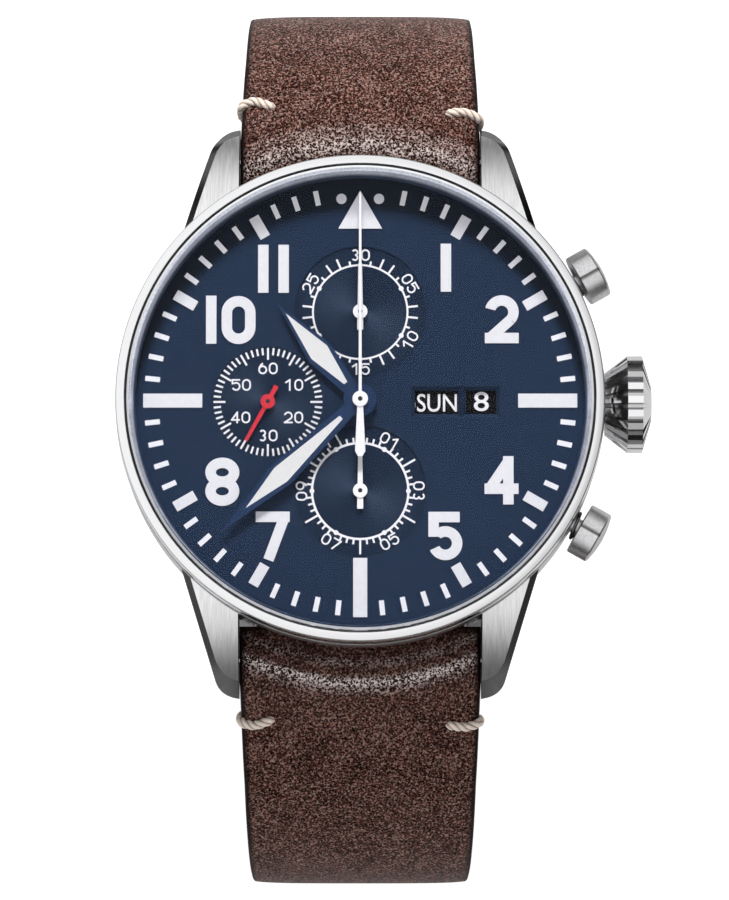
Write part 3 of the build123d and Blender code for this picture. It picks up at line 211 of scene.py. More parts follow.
# %% Node tools
def node(tree, kind, **values):
    """New node. in_NAME or in_NUMBER fills an input, by a value or by a link from a socket."""
    made = tree.nodes.new(kind)
    for key, value in values.items():
        if not key.startswith("in_"):
            setattr(made, key, value)
            continue
        label = key[3:].replace("_", " ")
        socket = made.inputs[int(label) if label.isdigit() else label]
        if isinstance(value, bpy.types.NodeSocket):
            tree.links.new(value, socket)
        else:
            socket.default_value = value
    return made


def feed(tree, target, **sockets):
    """Links sockets into a node's inputs, by name."""
    for key, socket in sockets.items():
        tree.links.new(socket, target.inputs[key.replace("_", " ")])


def place_in(tree):
    """The point's place on its piece, in metres."""
    return tree.nodes.new("ShaderNodeTexCoord").outputs["Object"]


def marked(tree, label):
    """The number that mark() stored on each vertex."""
    return node(tree, "ShaderNodeAttribute", attribute_name=label).outputs["Fac"]


print("node, feed, place_in and marked")

# %% [markdown]
# Sums, noise, bumps and colours each have a short helper of their own.

# %% Node formulas
def numbered(terms):
    """{in_0: first, in_1: second, ...} for node()."""
    return {f"in_{k}": term for k, term in enumerate(terms)}


def calc(tree, operation, *terms):
    """Math node over numbers and sockets."""
    return node(tree, "ShaderNodeMath", operation=operation, **numbered(terms)).outputs[0]


def vector(tree, operation, *terms, **more):
    """Vector Math node; the result is its first output, a length its Value."""
    return node(tree, "ShaderNodeVectorMath", operation=operation, **numbered(terms), **more)


def noise(tree, scale, detail, **more):
    """Soft random pattern with scale waves to a metre."""
    return node(tree, "ShaderNodeTexNoise", in_Vector=place_in(tree), in_Scale=scale,
                in_Detail=detail, **more).outputs["Fac"]


def bump(tree, height, strength, distance, **more):
    """Normal that leans as a surface of that height would; distance in millimetres."""
    return node(tree, "ShaderNodeBump", in_Height=height, in_Strength=strength,
                in_Distance=distance * MM, **more).outputs[0]


def remap(tree, value, low, high, to=(0.0, 1.0), **more):
    """low..high becomes to[0]..to[1], held at both ends."""
    return node(tree, "ShaderNodeMapRange", in_0=value, in_1=low, in_2=high, in_3=to[0],
                in_4=to[1], **more).outputs[0]


def mix_color(tree, factor, a, b, how="MIX"):
    """Colour a gives way to colour b by the factor."""
    return node(tree, "ShaderNodeMix", data_type="RGBA", blend_type=how, in_Factor=factor,
                in_A=a, in_B=b).outputs["Result"]


def ramp(tree, fac, stops):
    """Colour ramp through (position, colour) stops."""
    made = node(tree, "ShaderNodeValToRGB", in_0=fac)
    elements = made.color_ramp.elements
    while len(elements) < len(stops):
        elements.new(0.5)
    for element, (position, color) in zip(elements, stops):
        element.position = position
        element.color = (*color, 1)
    return made.outputs[0]


print("calc, vector, noise, bump, remap, mix_color and ramp")

# %% [markdown]
# An effect that several materials use is a node group: made once, with named inputs and outputs,
# and placed in each material with its own values.

# %% Node groups
def group(name, inputs, outputs):
    """Empty node group: inputs are {name: value}, outputs {name: socket type}."""
    made = bpy.data.node_groups.new(name, "ShaderNodeTree")
    for label, value in inputs.items():
        kind = "NodeSocketFloat" if isinstance(value, float) else "NodeSocketVector"
        socket = made.interface.new_socket(name=label, in_out="INPUT", socket_type=kind)
        socket.default_value = value
    for label, kind in outputs.items():
        made.interface.new_socket(name=label, in_out="OUTPUT", socket_type="NodeSocket" + kind)
    return made, made.nodes.new("NodeGroupInput").outputs, made.nodes.new("NodeGroupOutput")


print("groups so far:", len(bpy.data.node_groups))

# %% [markdown]
# ## Brushed metal
#
# The lugs are brushed: emery leaves fine parallel scratches. An image of scratches would need
# unwrapping. Noise whose coordinates are stretched a lot along one axis gives the same look on
# any shape. Several metals share the group, each with its own stretch and depth.

# %% Brushing group
def brushing_group():
    """grain = noise(place x stretch), and the normal leans with the grain."""
    tree, given, out = group("brushing", {"Stretch": (9000, 120, 400), "Depth": 0.4},
                             {"Grain": "Float", "Normal": "Vector"})
    scaled = vector(tree, "MULTIPLY", place_in(tree), given["Stretch"]).outputs[0]
    grain = node(tree, "ShaderNodeTexNoise", in_Vector=scaled, in_Scale=1.0, in_Detail=3.0,
                 in_Roughness=0.6).outputs["Fac"]
    feed(tree, out, Grain=grain, Normal=bump(tree, grain, given["Depth"], 0.02))
    return tree


BRUSHING = brushing_group()
print("brushing:", len(BRUSHING.nodes), "nodes")

# %% [markdown]
# ## Rings cut by a turning tool
#
# The three subdials have fine concentric grooves. The height of a groove is a sine of the
# distance from the centre. Grooves that fine are too small to catch the light one by one, so the
# group also gives a painted sheen: two opposite fans of painted highlight, as on a record, which
# fade outward and go into the dial's colour.

# %% Rings group
def rings_group():
    """height = sin(2 pi far / pitch) inside the radius R; painted sheen = |cos|^4 (1 - far / R)."""
    tree, given, out = group("rings", {"Centre": (0, 0, 0), "Radius": 0.006, "Pitch": 0.00022},
                             {"Height": "Float", "Inside": "Float", "Sheen": "Float"})
    off = vector(tree, "SUBTRACT", place_in(tree), given["Centre"]).outputs[0]
    flat = vector(tree, "MULTIPLY", off, (1, 1, 0)).outputs[0]
    far = vector(tree, "LENGTH", flat).outputs["Value"]
    inside = calc(tree, "LESS_THAN", far, given["Radius"])
    turns = calc(tree, "DIVIDE", far, given["Pitch"])
    wave = calc(tree, "SINE", calc(tree, "MULTIPLY", turns, 2 * math.pi))
    xyz = node(tree, "ShaderNodeSeparateXYZ", in_0=flat)
    lean = calc(tree, "ADD", xyz.outputs["X"], calc(tree, "MULTIPLY", xyz.outputs["Y"], -0.55))
    cosine = calc(tree, "DIVIDE", calc(tree, "DIVIDE", lean, 1.14), far)
    lobe = calc(tree, "POWER", calc(tree, "ABSOLUTE", cosine), 4.0)
    fade = calc(tree, "SUBTRACT", 1.0, calc(tree, "DIVIDE", far, given["Radius"]))
    sheen = calc(tree, "MULTIPLY", lobe, calc(tree, "MAXIMUM", fade, 0.0))
    feed(tree, out, Height=calc(tree, "MULTIPLY", wave, inside), Inside=inside,
         Sheen=calc(tree, "MULTIPLY", sheen, inside))
    return tree


RINGS = rings_group()
print("rings:", len(RINGS.nodes), "nodes")

# %% [markdown]
# ## Leather grain
#
# The strap is waxed leather whose top layer has cracked into small dark and light specks. Three
# patterns of different size are added up: warped noise for the worm-like cracks, cells for the
# sparkle and broad clouds for the patches. A fourth one shifts the hue a little.

# %% Leather group
SPECKS = ((1.7, "worms"), (0.8, "cells"), (0.35, "clouds"))


def leather_group():
    """tone = 0.5 + sum of weight x (pattern - 0.5), with the weights in SPECKS."""
    tree, given, out = group("leather", {"Size": 5000.0},
                             {"Tone": "Float", "Height": "Float", "Tint": "Float"})
    cells = node(tree, "ShaderNodeTexVoronoi", in_Vector=place_in(tree), in_Scale=5200.0)
    patterns = {"worms": noise(tree, given["Size"], 1.0, in_Distortion=0.9),
                "cells": cells.outputs["Distance"], "clouds": noise(tree, 380.0, 3.0)}
    tone = 0.5 - 0.5 * sum(weight for weight, _ in SPECKS)
    for weight, pattern in SPECKS:
        tone = calc(tree, "MULTIPLY_ADD", patterns[pattern], weight, tone)
    height = calc(tree, "ADD", patterns["worms"], patterns["cells"])
    feed(tree, out, Tone=tone, Height=height, Tint=noise(tree, 1900.0, 1.0))
    return tree


LEATHER = leather_group()
print("leather:", len(LEATHER.nodes), "nodes")

# %% [markdown]
# ## Kinds of material
#
# Three recipes serve most pieces: brushed metal, polished metal and paint. Each adds a little
# unevenness, because a surface with one roughness all over looks like plastic.

# %% Material recipes
def material(name, color, metallic=0.0, rough=0.5, **more):
    """Principled material; more holds further sockets by name, with _ for spaces."""
    m = bpy.data.materials.new(name)
    m.use_nodes = True
    bsdf = m.node_tree.nodes["Principled BSDF"]
    more.update(Base_Color=(*color, 1), Metallic=metallic, Roughness=rough)
    for key, value in more.items():
        bsdf.inputs[key.replace("_", " ")].default_value = value
    return m, m.node_tree, bsdf


def use_group(tree, shared, **values):
    """A shared group placed in a material, with the material's own values."""
    placed = node(tree, "ShaderNodeGroup", node_tree=shared)
    for key, value in values.items():
        placed.inputs[key].default_value = value
    return placed.outputs


def brushed(name, color, rough, stretch, depth=0.4, spread=0.12):
    """roughness = rough + spread (grain - 0.5); the colour goes from 0.86 to 1.06 of itself."""
    m, t, bsdf = material(name, color, 1.0, rough)
    g = use_group(t, BRUSHING, Stretch=stretch, Depth=depth)
    low, high = (tuple(c * share for c in color) for share in (0.86, 1.06))
    feed(t, bsdf, Normal=g["Normal"], Base_Color=ramp(t, g["Grain"], [(0.35, low), (0.65, high)]),
         Roughness=calc(t, "MULTIPLY_ADD", g["Grain"], spread, rough - spread / 2))
    return m


def polished(name, color, rough=0.05, edge_tint=(1, 1, 1, 1)):
    """Metal with a trace of haze; the edge tint dims what it mirrors at a flat angle."""
    m, t, bsdf = material(name, color, 1.0, rough, Specular_Tint=edge_tint)
    haze = noise(t, 900.0, 2.0)
    feed(t, bsdf, Roughness=calc(t, "MULTIPLY_ADD", haze, 0.05, rough - 0.02))
    return m


def painted(name, color, rough=0.45, metallic=0.0, speck=0.06, scale=3500.0, **more):
    """Paint whose tone drops by up to speck, with a bump of the same noise."""
    m, t, bsdf = material(name, color, metallic, rough, **more)
    uneven = noise(t, scale, 2.0)
    low = tuple(c * (1 - speck) for c in color)
    feed(t, bsdf, Base_Color=ramp(t, uneven, [(0.3, low), (0.7, color)]),
         Normal=bump(t, uneven, 0.12, 0.02))
    return m


def recolor(m, change):
    """Puts change(tree, colour socket) between a finished material's colour and its shader."""
    t = m.node_tree
    bsdf = t.nodes["Principled BSDF"]
    feed(t, bsdf, Base_Color=change(t, bsdf.inputs["Base Color"].links[0].from_socket))
    return m


print("recipes: brushed, polished, painted")

# %% [markdown]
# ## Metals
#
# The same steel looks different by its finish. The lugs' tops are brushed lengthwise, the bezel
# and crown are polished, the bevels mirror the dark side of the room, and the parts under the
# watch are plain satin. The bevels' steel, the lugs' tips and the crown's valleys also have a
# darkened colour, a painted shade, and the pushers' steel a painted reflection. Bridges are
# nickel, wheels brass, screws blued by heat.

# %% Metals
EVEN = (4000, 4000, 4000)
STEEL = brushed("steel_vertical", (0.88, 0.88, 0.89), 0.40, (7000, 300, 700), 0.55)
STEEL_ROUND = brushed("steel_flank", (0.62, 0.62, 0.63), 0.28, (500, 500, 9000), 0.3)
# Painted shade: brushed steel darkened for the lugs' tips and the bevels at 6 o'clock.
TIP_PAINTED_SHADE = brushed("steel_tip_painted_shade", (0.13, 0.13, 0.133), 0.5, EVEN, 0.1, 0.05)
SATIN = brushed("steel_satin", (0.55, 0.55, 0.56), 0.40, EVEN, 0.2, 0.08)
POLISHED = polished("steel_polished", (0.80, 0.80, 0.82), 0.06)
# Painted shade: polished steel with a dark colour, for the lugs' bevels and inner faces and the
# tubes and springs under crown and pushers. The mirrored dark room is real, the dark colour
# painted.
POLISHED_PAINTED_SHADE = polished("steel_bevel_painted_shade", (0.17, 0.17, 0.175), 0.16, (0.2, 0.2, 0.2, 1))
BEZEL_STEEL = polished("steel_bezel", (0.80, 0.80, 0.81), 0.13)
CROWN_STEEL = polished("steel_crown", (0.84, 0.84, 0.85), 0.09)
# Painted shade in the crown's grooves: a darker and rougher copy of the crown's steel.
CROWN_VALLEY_SHADE = polished("steel_valley_painted_shade", (0.52, 0.52, 0.525), 0.12)
SPRING = polished("spring_steel", (0.55, 0.56, 0.58), 0.2)
BLUED = polished("blued_screws", (0.03, 0.07, 0.35), 0.12)
NICKEL = brushed("nickel_striped", (0.68, 0.66, 0.62), 0.25, (300, 5000, 300), 0.25)
BRASS = brushed("brass_turned", (0.80, 0.60, 0.28), 0.25, (3000, 3000, 300), 0.2)


def pusher_steel():
    """Brushed steel x the mark shade, the painted reflection that runs along each cap."""
    m = brushed("steel_pusher", (0.72, 0.72, 0.73), 0.36, EVEN, 0.2, 0.08)
    return recolor(m, lambda t, color: vector(t, "SCALE", color,
                                              in_Scale=marked(t, "shade")).outputs[0])


PUSHER_STEEL = pusher_steel()
print("steels, nickel and brass")

# %% [markdown]
# ## Metals with a pattern
#
# The flange is the sloping ring inside the glass. It mirrors the blue dial at its foot and the
# bright room above. A mirror of the dial in it would be very noisy, so the blue at its foot is a
# painted reflection, a colour by height. The bridges have broad waves, cut by a lap that turns as
# it moves on, and the wheels that show through the dial's holes sit on a dark steel axle.

# %% Patterned metals
FLANGE_FOOT, FLANGE_TOP = LIFT + 10.2, LIFT + 12.38
# Painted reflection of the blue dial in the flange's foot, by the share of its height.
DIAL_REFLECTION_BLUE = [(0.30, (0.10, 0.14, 0.22)), (0.62, (1, 1, 1))]


def flange_steel():
    """Pale steel x DIAL_REFLECTION_BLUE, the painted reflection of the dial, by the share of the
    flange's height.
    """
    def foot(t, color):
        """The steel's colour x DIAL_REFLECTION_BLUE, the painted reflection of the dial."""
        z = node(t, "ShaderNodeSeparateXYZ", in_0=place_in(t)).outputs["Z"]
        share = remap(t, z, FLANGE_FOOT * MM, FLANGE_TOP * MM)
        return mix_color(t, 1.0, color, ramp(t, share, DIAL_REFLECTION_BLUE), "MULTIPLY")
    pale = brushed("flange_pale", (0.82, 0.85, 0.94), 0.55, (5000, 5000, 2000), 0.1, 0.08)
    return recolor(pale, foot)


def waved_nickel():
    """height = fraction of (620 x), with x turned by 0.6 radians: a saw tooth every 1.6 mm."""
    m, t, bsdf = material("nickel_waves", (0.70, 0.68, 0.64), 1.0, 0.25)
    turn = node(t, "ShaderNodeVectorRotate", rotation_type="Z_AXIS", in_Vector=place_in(t),
                in_Angle=0.6)
    x = node(t, "ShaderNodeSeparateXYZ", in_0=turn.outputs[0]).outputs["X"]
    saw = calc(t, "FRACT", calc(t, "MULTIPLY", x, 620.0))
    fine = use_group(t, BRUSHING, Stretch=(5000, 5000, 300), Depth=0.2)
    feed(t, bsdf, Normal=bump(t, saw, 0.35, 0.08, in_Normal=fine["Normal"]),
         Roughness=calc(t, "MULTIPLY_ADD", saw, 0.14, 0.18))
    return m


def wheel_brass(name, x, y):
    """Brass wheel whose axle, inside 0.75 mm of its centre, is dark steel."""
    m, t, bsdf = material(name, (0.80, 0.60, 0.28), 1.0, 0.25)
    axle = use_group(t, RINGS, Centre=(x * MM, y * MM, 0), Radius=0.75 * MM, Pitch=0.5 * MM)
    grain = use_group(t, BRUSHING, Stretch=(3000, 3000, 300), Depth=0.2)
    color = mix_color(t, axle["Inside"], (0.80, 0.60, 0.28, 1), (0.05, 0.05, 0.055, 1))
    feed(t, bsdf, Base_Color=color, Normal=grain["Normal"])
    return m


FLANGE = flange_steel()
WAVES = waved_nickel()
WHEELS = {name: wheel_brass("wheel_" + name, x, y)
          for name, x, y in (("small_seconds", -8.3, -0.1), ("seconds", 0, 0),
                             ("minutes", 0, 8.05), ("hours", 0, -8.15))}
print("flange, waves and", len(WHEELS), "wheels on axles")

# %% [markdown]
# ## Dial
#
# The dial is dark blue and matt. Its three subdials are sunk, a shade darker and grooved, with a
# painted sheen. Towards the edge, most of all at 12 o'clock, the dial falls into the shadow of the
# flange. The lamps cast part of that shadow, and the rest is a painted shadow: a smooth fall of the
# colour by distance from a point a little below the centre.

# %% Dial material
SUBDIALS = ((0, 8.05, 5.9), (0, -8.15, 5.92), (-8.3, -0.1, 4.95))
DIAL_BLUE, SUBDIAL_BLUE = (0.0122, 0.0256, 0.0580, 1), (0.0088, 0.0185, 0.0420, 1)
# Colour of the painted sheen on the subdials.
PAINTED_SHEEN_BLUE = (0.040, 0.062, 0.110, 1)
# Painted shadow of the flange on the dial's rim: its centre's shift, where it starts, where it
# ends, and the share of colour left.
RIM_SHADOW_SHIFT, RIM_SHADOW_START, RIM_SHADOW_END, RIM_SHADOW_LEFT = 3.0, 19.9, 20.8, 0.26


def dial_material():
    """colour = (dial to subdial by inside, to the painted sheen by 0.85 sheen) x grain x painted
    rim shadow.
    """
    m, t, bsdf = material("dial_blue", (0.012, 0.024, 0.075), 0.0, 0.5, Specular_IOR_Level=0.06)
    rings = [use_group(t, RINGS, Centre=(x * MM, y * MM, 0), Radius=radius * MM, Pitch=0.21 * MM)
             for x, y, radius in SUBDIALS]

    def total(label):
        """Sum of one output over the three subdials, of which a point is in one at most."""
        return calc(t, "ADD", calc(t, "ADD", rings[0][label], rings[1][label]), rings[2][label])

    grain = noise(t, 5200.0, 2.0)
    height = calc(t, "ADD", total("Height"), calc(t, "MULTIPLY", grain, 0.6))
    blue = mix_color(t, total("Inside"), DIAL_BLUE, SUBDIAL_BLUE)
    lit = mix_color(t, calc(t, "MULTIPLY", total("Sheen"), 0.85), blue, PAINTED_SHEEN_BLUE)
    specks = ramp(t, grain, [(0.3, (0.72, 0.72, 0.74)), (0.7, (1, 1, 1))])
    grainy = mix_color(t, 0.5, lit, specks, "MULTIPLY")
    # Painted shadow: the colour falls to RIM_SHADOW_LEFT of itself, by distance from a point 3 mm
    # below the centre, so it is deepest at 12 o'clock.
    off = vector(t, "ADD", place_in(t), (0, RIM_SHADOW_SHIFT * MM, 0)).outputs[0]
    far = vector(t, "LENGTH", vector(t, "MULTIPLY", off, (1, 1, 0)).outputs[0]).outputs["Value"]
    painted_rim_shadow = remap(t, far, RIM_SHADOW_START * MM, RIM_SHADOW_END * MM, (1.0, RIM_SHADOW_LEFT),
                  interpolation_type="SMOOTHSTEP")
    feed(t, bsdf, Normal=bump(t, height, 0.25, 0.02),
         Base_Color=vector(t, "SCALE", grainy, in_Scale=painted_rim_shadow).outputs[0])
    return m


DIAL = dial_material()
print("dial:", len(DIAL.node_tree.nodes), "nodes")

# %% [markdown]
# ## Paint, filling and rubber
#
# Luminous filling is a chalky white. Printed white is a little cleaner, and the white and red
# hands are lacquered. The discs behind the calendar windows are dull black.

# %% Paints
LUME = painted("lume_white", (0.71, 0.71, 0.76), 0.6)
HAND_LUME = painted("lume_hand", (0.68, 0.68, 0.69), 0.6)
PRINT = painted("print_white", (0.80, 0.80, 0.84), 0.5)
WHITE_HAND = painted("hand_white", (0.86, 0.86, 0.9), 0.35)
RED_HAND = painted("hand_red", (0.56, 0.010, 0.030), 0.35)
BLUE_HAND = painted("hand_blue", (0.010, 0.028, 0.080), 0.4, 0.2, Specular_IOR_Level=0.2)
BLACK_DISC = painted("disc_black", (0.005, 0.005, 0.006), 0.7, Specular_IOR_Level=0.05)
RUBBER = painted("rubber_black", (0.01, 0.01, 0.011), 0.7)
RUBY = painted("ruby", (0.55, 0.006, 0.05), 0.05, 0.0, 0.1, 1500.0, Coat_Weight=1.0)
print("nine paints")

# %% [markdown]
# ## Crystal
#
# The glass over the dial is coated, so it mirrors very little: a low index says that. Shadow and
# diffuse rays pass straight through it, because light bent by glass would take very many samples
# to light the dial evenly. The rim of the glass is a pale milky ring, a painted highlight for the
# bright line on its polished edge.

# %% Crystal material
def crystal_material():
    """Principled glass for the rays that look, Transparent for the rays that light."""
    m, t, bsdf = material("crystal_clear", (1.0, 1.0, 1.0), 0.0, 0.0, IOR=1.12,
                          Transmission_Weight=1.0)
    path = t.nodes.new("ShaderNodeLightPath").outputs
    lighting = calc(t, "MAXIMUM", path["Is Shadow Ray"], path["Is Diffuse Ray"])
    clear = t.nodes.new("ShaderNodeBsdfTransparent")
    both = node(t, "ShaderNodeMixShader", in_0=lighting, in_1=bsdf.outputs[0],
                in_2=clear.outputs[0])
    feed(t, t.nodes["Material Output"], Surface=both.outputs[0])
    return m


CRYSTAL = crystal_material()
# Painted highlight: a pale milky ring on the glass's rim.
RIM_HIGHLIGHT_GLASS = painted("glass_rim_painted_highlight", (0.93, 0.94, 0.96), 0.55, Transmission_Weight=0.25)
print("crystal and its ground rim")

# %% [markdown]
# ## Leather
#
# The tone of the grain group picks a colour from four browns. Where the strap bends over its
# padding the raised specks carry a painted highlight, nearly white, and the leather is a little
# glossier: the mark gloss_and_painted_highlight says where, the tone says which specks. The mark
# edge darkens the painted cut edge.

# %% Leather materials
TONE_STOPS = (0.14, 0.36, 0.60, 0.88)
HUES = [(0.38, (0.97, 0.86, 0.84)), (0.62, (0.87, 0.96, 0.97))]
# HIGHLIGHT_WHITE is the colour of the painted highlight on the strap's crest; EDGE_PAINT is the
# real edge paint.
HIGHLIGHT_WHITE, EDGE_PAINT = (0.94, 0.83, 0.79, 1), (0.012, 0.007, 0.006, 1)


def leather_material(name, tones, rough=0.36, strength=0.5):
    """colour = browns by tone x hue, to the painted highlight HIGHLIGHT_WHITE by
    gloss_and_painted_highlight x high tone, to EDGE_PAINT by edge.
    """
    m, t, bsdf = material(name, tones[1], 0.0, rough, Specular_IOR_Level=0.06)
    g = use_group(t, LEATHER)
    brown = ramp(t, g["Tone"], list(zip(TONE_STOPS, tones)))
    tinted = mix_color(t, 1.0, brown, ramp(t, g["Tint"], HUES), "MULTIPLY")
    gloss_and_painted_highlight = marked(t, "gloss_and_painted_highlight")
    shine = calc(t, "MULTIPLY", gloss_and_painted_highlight, remap(t, g["Tone"], 0.42, 0.82))
    highlighted = mix_color(t, shine, tinted, HIGHLIGHT_WHITE)
    feed(t, bsdf, Base_Color=mix_color(t, marked(t, "edge"), highlighted, EDGE_PAINT),
         Roughness=calc(t, "MULTIPLY_ADD", gloss_and_painted_highlight, -0.10, rough),
         Normal=bump(t, g["Height"], strength, 0.10))
    return m


LEATHER_TOP = leather_material("leather_brown", (
    (0.006, 0.0010, 0.0005), (0.034, 0.0110, 0.0070), (0.124, 0.057, 0.045), (0.38, 0.240, 0.204)))
LEATHER_LINING = leather_material("leather_lining", (
    (0.10, 0.05, 0.03), (0.20, 0.11, 0.07), (0.26, 0.15, 0.10), (0.32, 0.19, 0.13)), 0.7, 0.3)
print("leather and lining")

# %% [markdown]
# ## Thread
#
# The stitches are thick waxed thread of three strands. The fibres run along the strands, so their
# pattern follows the thread's own UV map. The mark groove paints shade into the gaps between the
# strands and a painted highlight onto their crests.

# %% Thread material
# From painted shade in the gaps between strands to a painted highlight on their crests.
THREAD_TONES = [(0.12, (0.22, 0.12, 0.08)), (0.40, (0.72, 0.54, 0.44)), (0.75, (0.98, 0.88, 0.78))]


def thread_material():
    """tone = 0.35 fibre + 0.7 groove, with the fibre a noise drawn out along the thread; groove
    gives painted shade and highlight.
    """
    m, t, bsdf = material("thread_beige", (0.62, 0.50, 0.40), 0.0, 0.55, Sheen_Weight=0.3)
    along = vector(t, "MULTIPLY", t.nodes.new("ShaderNodeUVMap").outputs[0], (60, 3, 1))
    fibre = node(t, "ShaderNodeTexNoise", in_Vector=along.outputs[0], in_Scale=1.0,
                 in_Detail=2.0).outputs["Fac"]
    tone = calc(t, "MULTIPLY_ADD", fibre, 0.35, calc(t, "MULTIPLY", marked(t, "groove"), 0.7))
    feed(t, bsdf, Base_Color=ramp(t, tone, THREAD_TONES), Normal=bump(t, fibre, 0.4, 0.05))
    return m


THREAD = thread_material()
print("materials so far:", len(bpy.data.materials))

# %% [markdown]
# ## Dressing a piece
#
# Every rebuilt piece gets its finish, the body that it rides on and the CAD nodes that it stands
# for. A piece with more than one finish says so face by face. Small bevels on the sharp edges catch
# a line of light, as real edges do.

# %% Dressing tools
def dress(obj, finishes, body="head", nodes=()):
    """Finish or tuple of finishes, body, slot and replaced nodes, in one line."""
    obj.data.materials.clear()
    for finish in finishes if isinstance(finishes, tuple) else (finishes,):
        obj.data.materials.append(finish)
    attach(obj, body)
    if nodes:
        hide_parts(*nodes)
    return obj


def finish_faces(obj, numbers):
    """Which of a piece's finishes each face has."""
    obj.data.polygons.foreach_set("material_index", np.asarray(numbers, np.int32))


def bevel_edges(obj, width, angle, segments=2, harden=True):
    """Rounds the edges sharper than an angle in degrees; width in millimetres."""
    mod = obj.modifiers.new("edges", "BEVEL")
    mod.width, mod.segments = width * MM, segments
    mod.limit_method, mod.angle_limit = "ANGLE", math.radians(angle)
    mod.harden_normals = harden


print("dressing tools ready")

# %% [markdown]
# ## Case
#
# The middle of the case is a turned ring. Between the lugs its lower part is cut back to a
# straight wall, where the strap's end sits. A Boolean would leave a ragged seam on so fine a ring,
# so the points beyond the wall are simply moved onto it.

# %% Case ring
CASE = [(18.6, 1.2), (20.9, 1.2), (22.05, 2.6), (22.05, 7.3), (22.05, 7.5), (22.05, 10.45),
        (21.66, 10.8), (20.45, 10.8), (20.45, 9.8), (18.6, 9.8)]
LUG_INNER = 11.0        # half of the 22 mm gap between two lugs
STRAP_WALL = 19.5       # |y| of the straight wall
WALL_TOP = 7.4


def case_ring(count=720):
    """Spun outline; where |x| < 11, points below the wall's top move in to |y| = 19.5."""
    outline = rounded(CASE, 0.14, 3, keep=(3, 4))
    p = spin_points(outline, count)
    x, y, z = p[..., 0], p[..., 1], p[..., 2]
    hit = (np.abs(x) < LUG_INNER) & (np.abs(y) > STRAP_WALL) & (z < WALL_TOP)
    y[hit] = np.sign(y[hit]) * STRAP_WALL
    faces = grid_faces(count, len(outline), True, True)
    return build("case_ring", raise_z(p.reshape(-1, 3)), faces, 30)


ring = dress(case_ring(), STEEL_ROUND, "head", ["case_middle"])
print("case ring:", len(ring.data.polygons), "faces")

# %% [markdown]
# ## Lugs
#
# A lug is a loft along its outer edge, seen from above. Each station has six points: two on the
# straight inner face, the crease where the polished bevel starts, the outer edge, and two below.
# The top follows one arc that falls from the bezel to the tip. The brushed top, the dark bevel,
# the dark tip and the satin rest are four finishes of one piece, parted by the column of the face.
# The dark bevel, which also covers the inner face, mirrors the dark room and has a painted shade in
# its colour; the dark tip, which also takes the bevel at 6 o'clock, is painted shade.

# %% Lug profile
def arc3(a, b, c, count):
    """Points of the circle through three plane points, from a to c."""
    (ax, ay), (bx, by), (cx, cy) = a, b, c
    d = 2 * (ax * (by - cy) + bx * (cy - ay) + cx * (ay - by))
    aa, bb, cc = ax ** 2 + ay ** 2, bx ** 2 + by ** 2, cx ** 2 + cy ** 2
    ux = (aa * (by - cy) + bb * (cy - ay) + cc * (ay - by)) / d
    uy = (aa * (cx - bx) + bb * (ax - cx) + cc * (bx - ax)) / d
    r = math.hypot(ax - ux, ay - uy)
    t = np.linspace(math.atan2(ay - uy, ax - ux), math.atan2(cy - uy, cx - ux), count)
    return np.stack([ux + r * np.cos(t), uy + r * np.sin(t)], -1)


LUG_ARC = arc3((11.4, 10.15), (19.6, 8.9), (24.9, 5.0), 60)


def lug_top(y):
    """Height of the top at a distance y from the middle of the case."""
    return np.interp(y, LUG_ARC[:, 0], LUG_ARC[:, 1])


def lug_low(y):
    """Height of the underside, which drops towards the tip."""
    return np.interp(y, [11.4, 17.0, 24.2, 26.2], [1.2, 1.2, -0.8, -0.8])


def lug_edge():
    """Outer edge from above: a straight flank, then (1-t)^2 a + 2 t (1-t) b + t^2 c."""
    flank = np.linspace([16.9, 12.4], [13.25, 24.4], 26)
    t = np.linspace(0, 1, 16)[1:, None]
    corner = (1 - t) ** 2 * [13.25, 24.4] + 2 * t * (1 - t) * [12.85, 25.95] + t * t * [11.0, 26.15]
    return np.vstack([flank, corner])


print("lug arc from", LUG_ARC[0].round(2), "to", LUG_ARC[-1].round(2))

# %% [markdown]
# One lug is worked out and the signs of x and y mirror it into the four corners. A mirror turns a
# mesh inside out, so the faces of a mirrored lug are listed the other way round.

# %% Lug mesh
TIP_ROW = 28                        # the station where the tip's sloping facet begins
NOSE_FROM, NOSE_TO = 23.2, 25.8     # y over which the lug's end rounds off
BEVEL, NOSE_BEVEL = 0.55, 0.70      # width of the bevel, and what the nose adds
DROP, NOSE_DROP = 0.55, 4.2         # the outer edge below the top, and what the nose adds
CREASE_END = 24.9


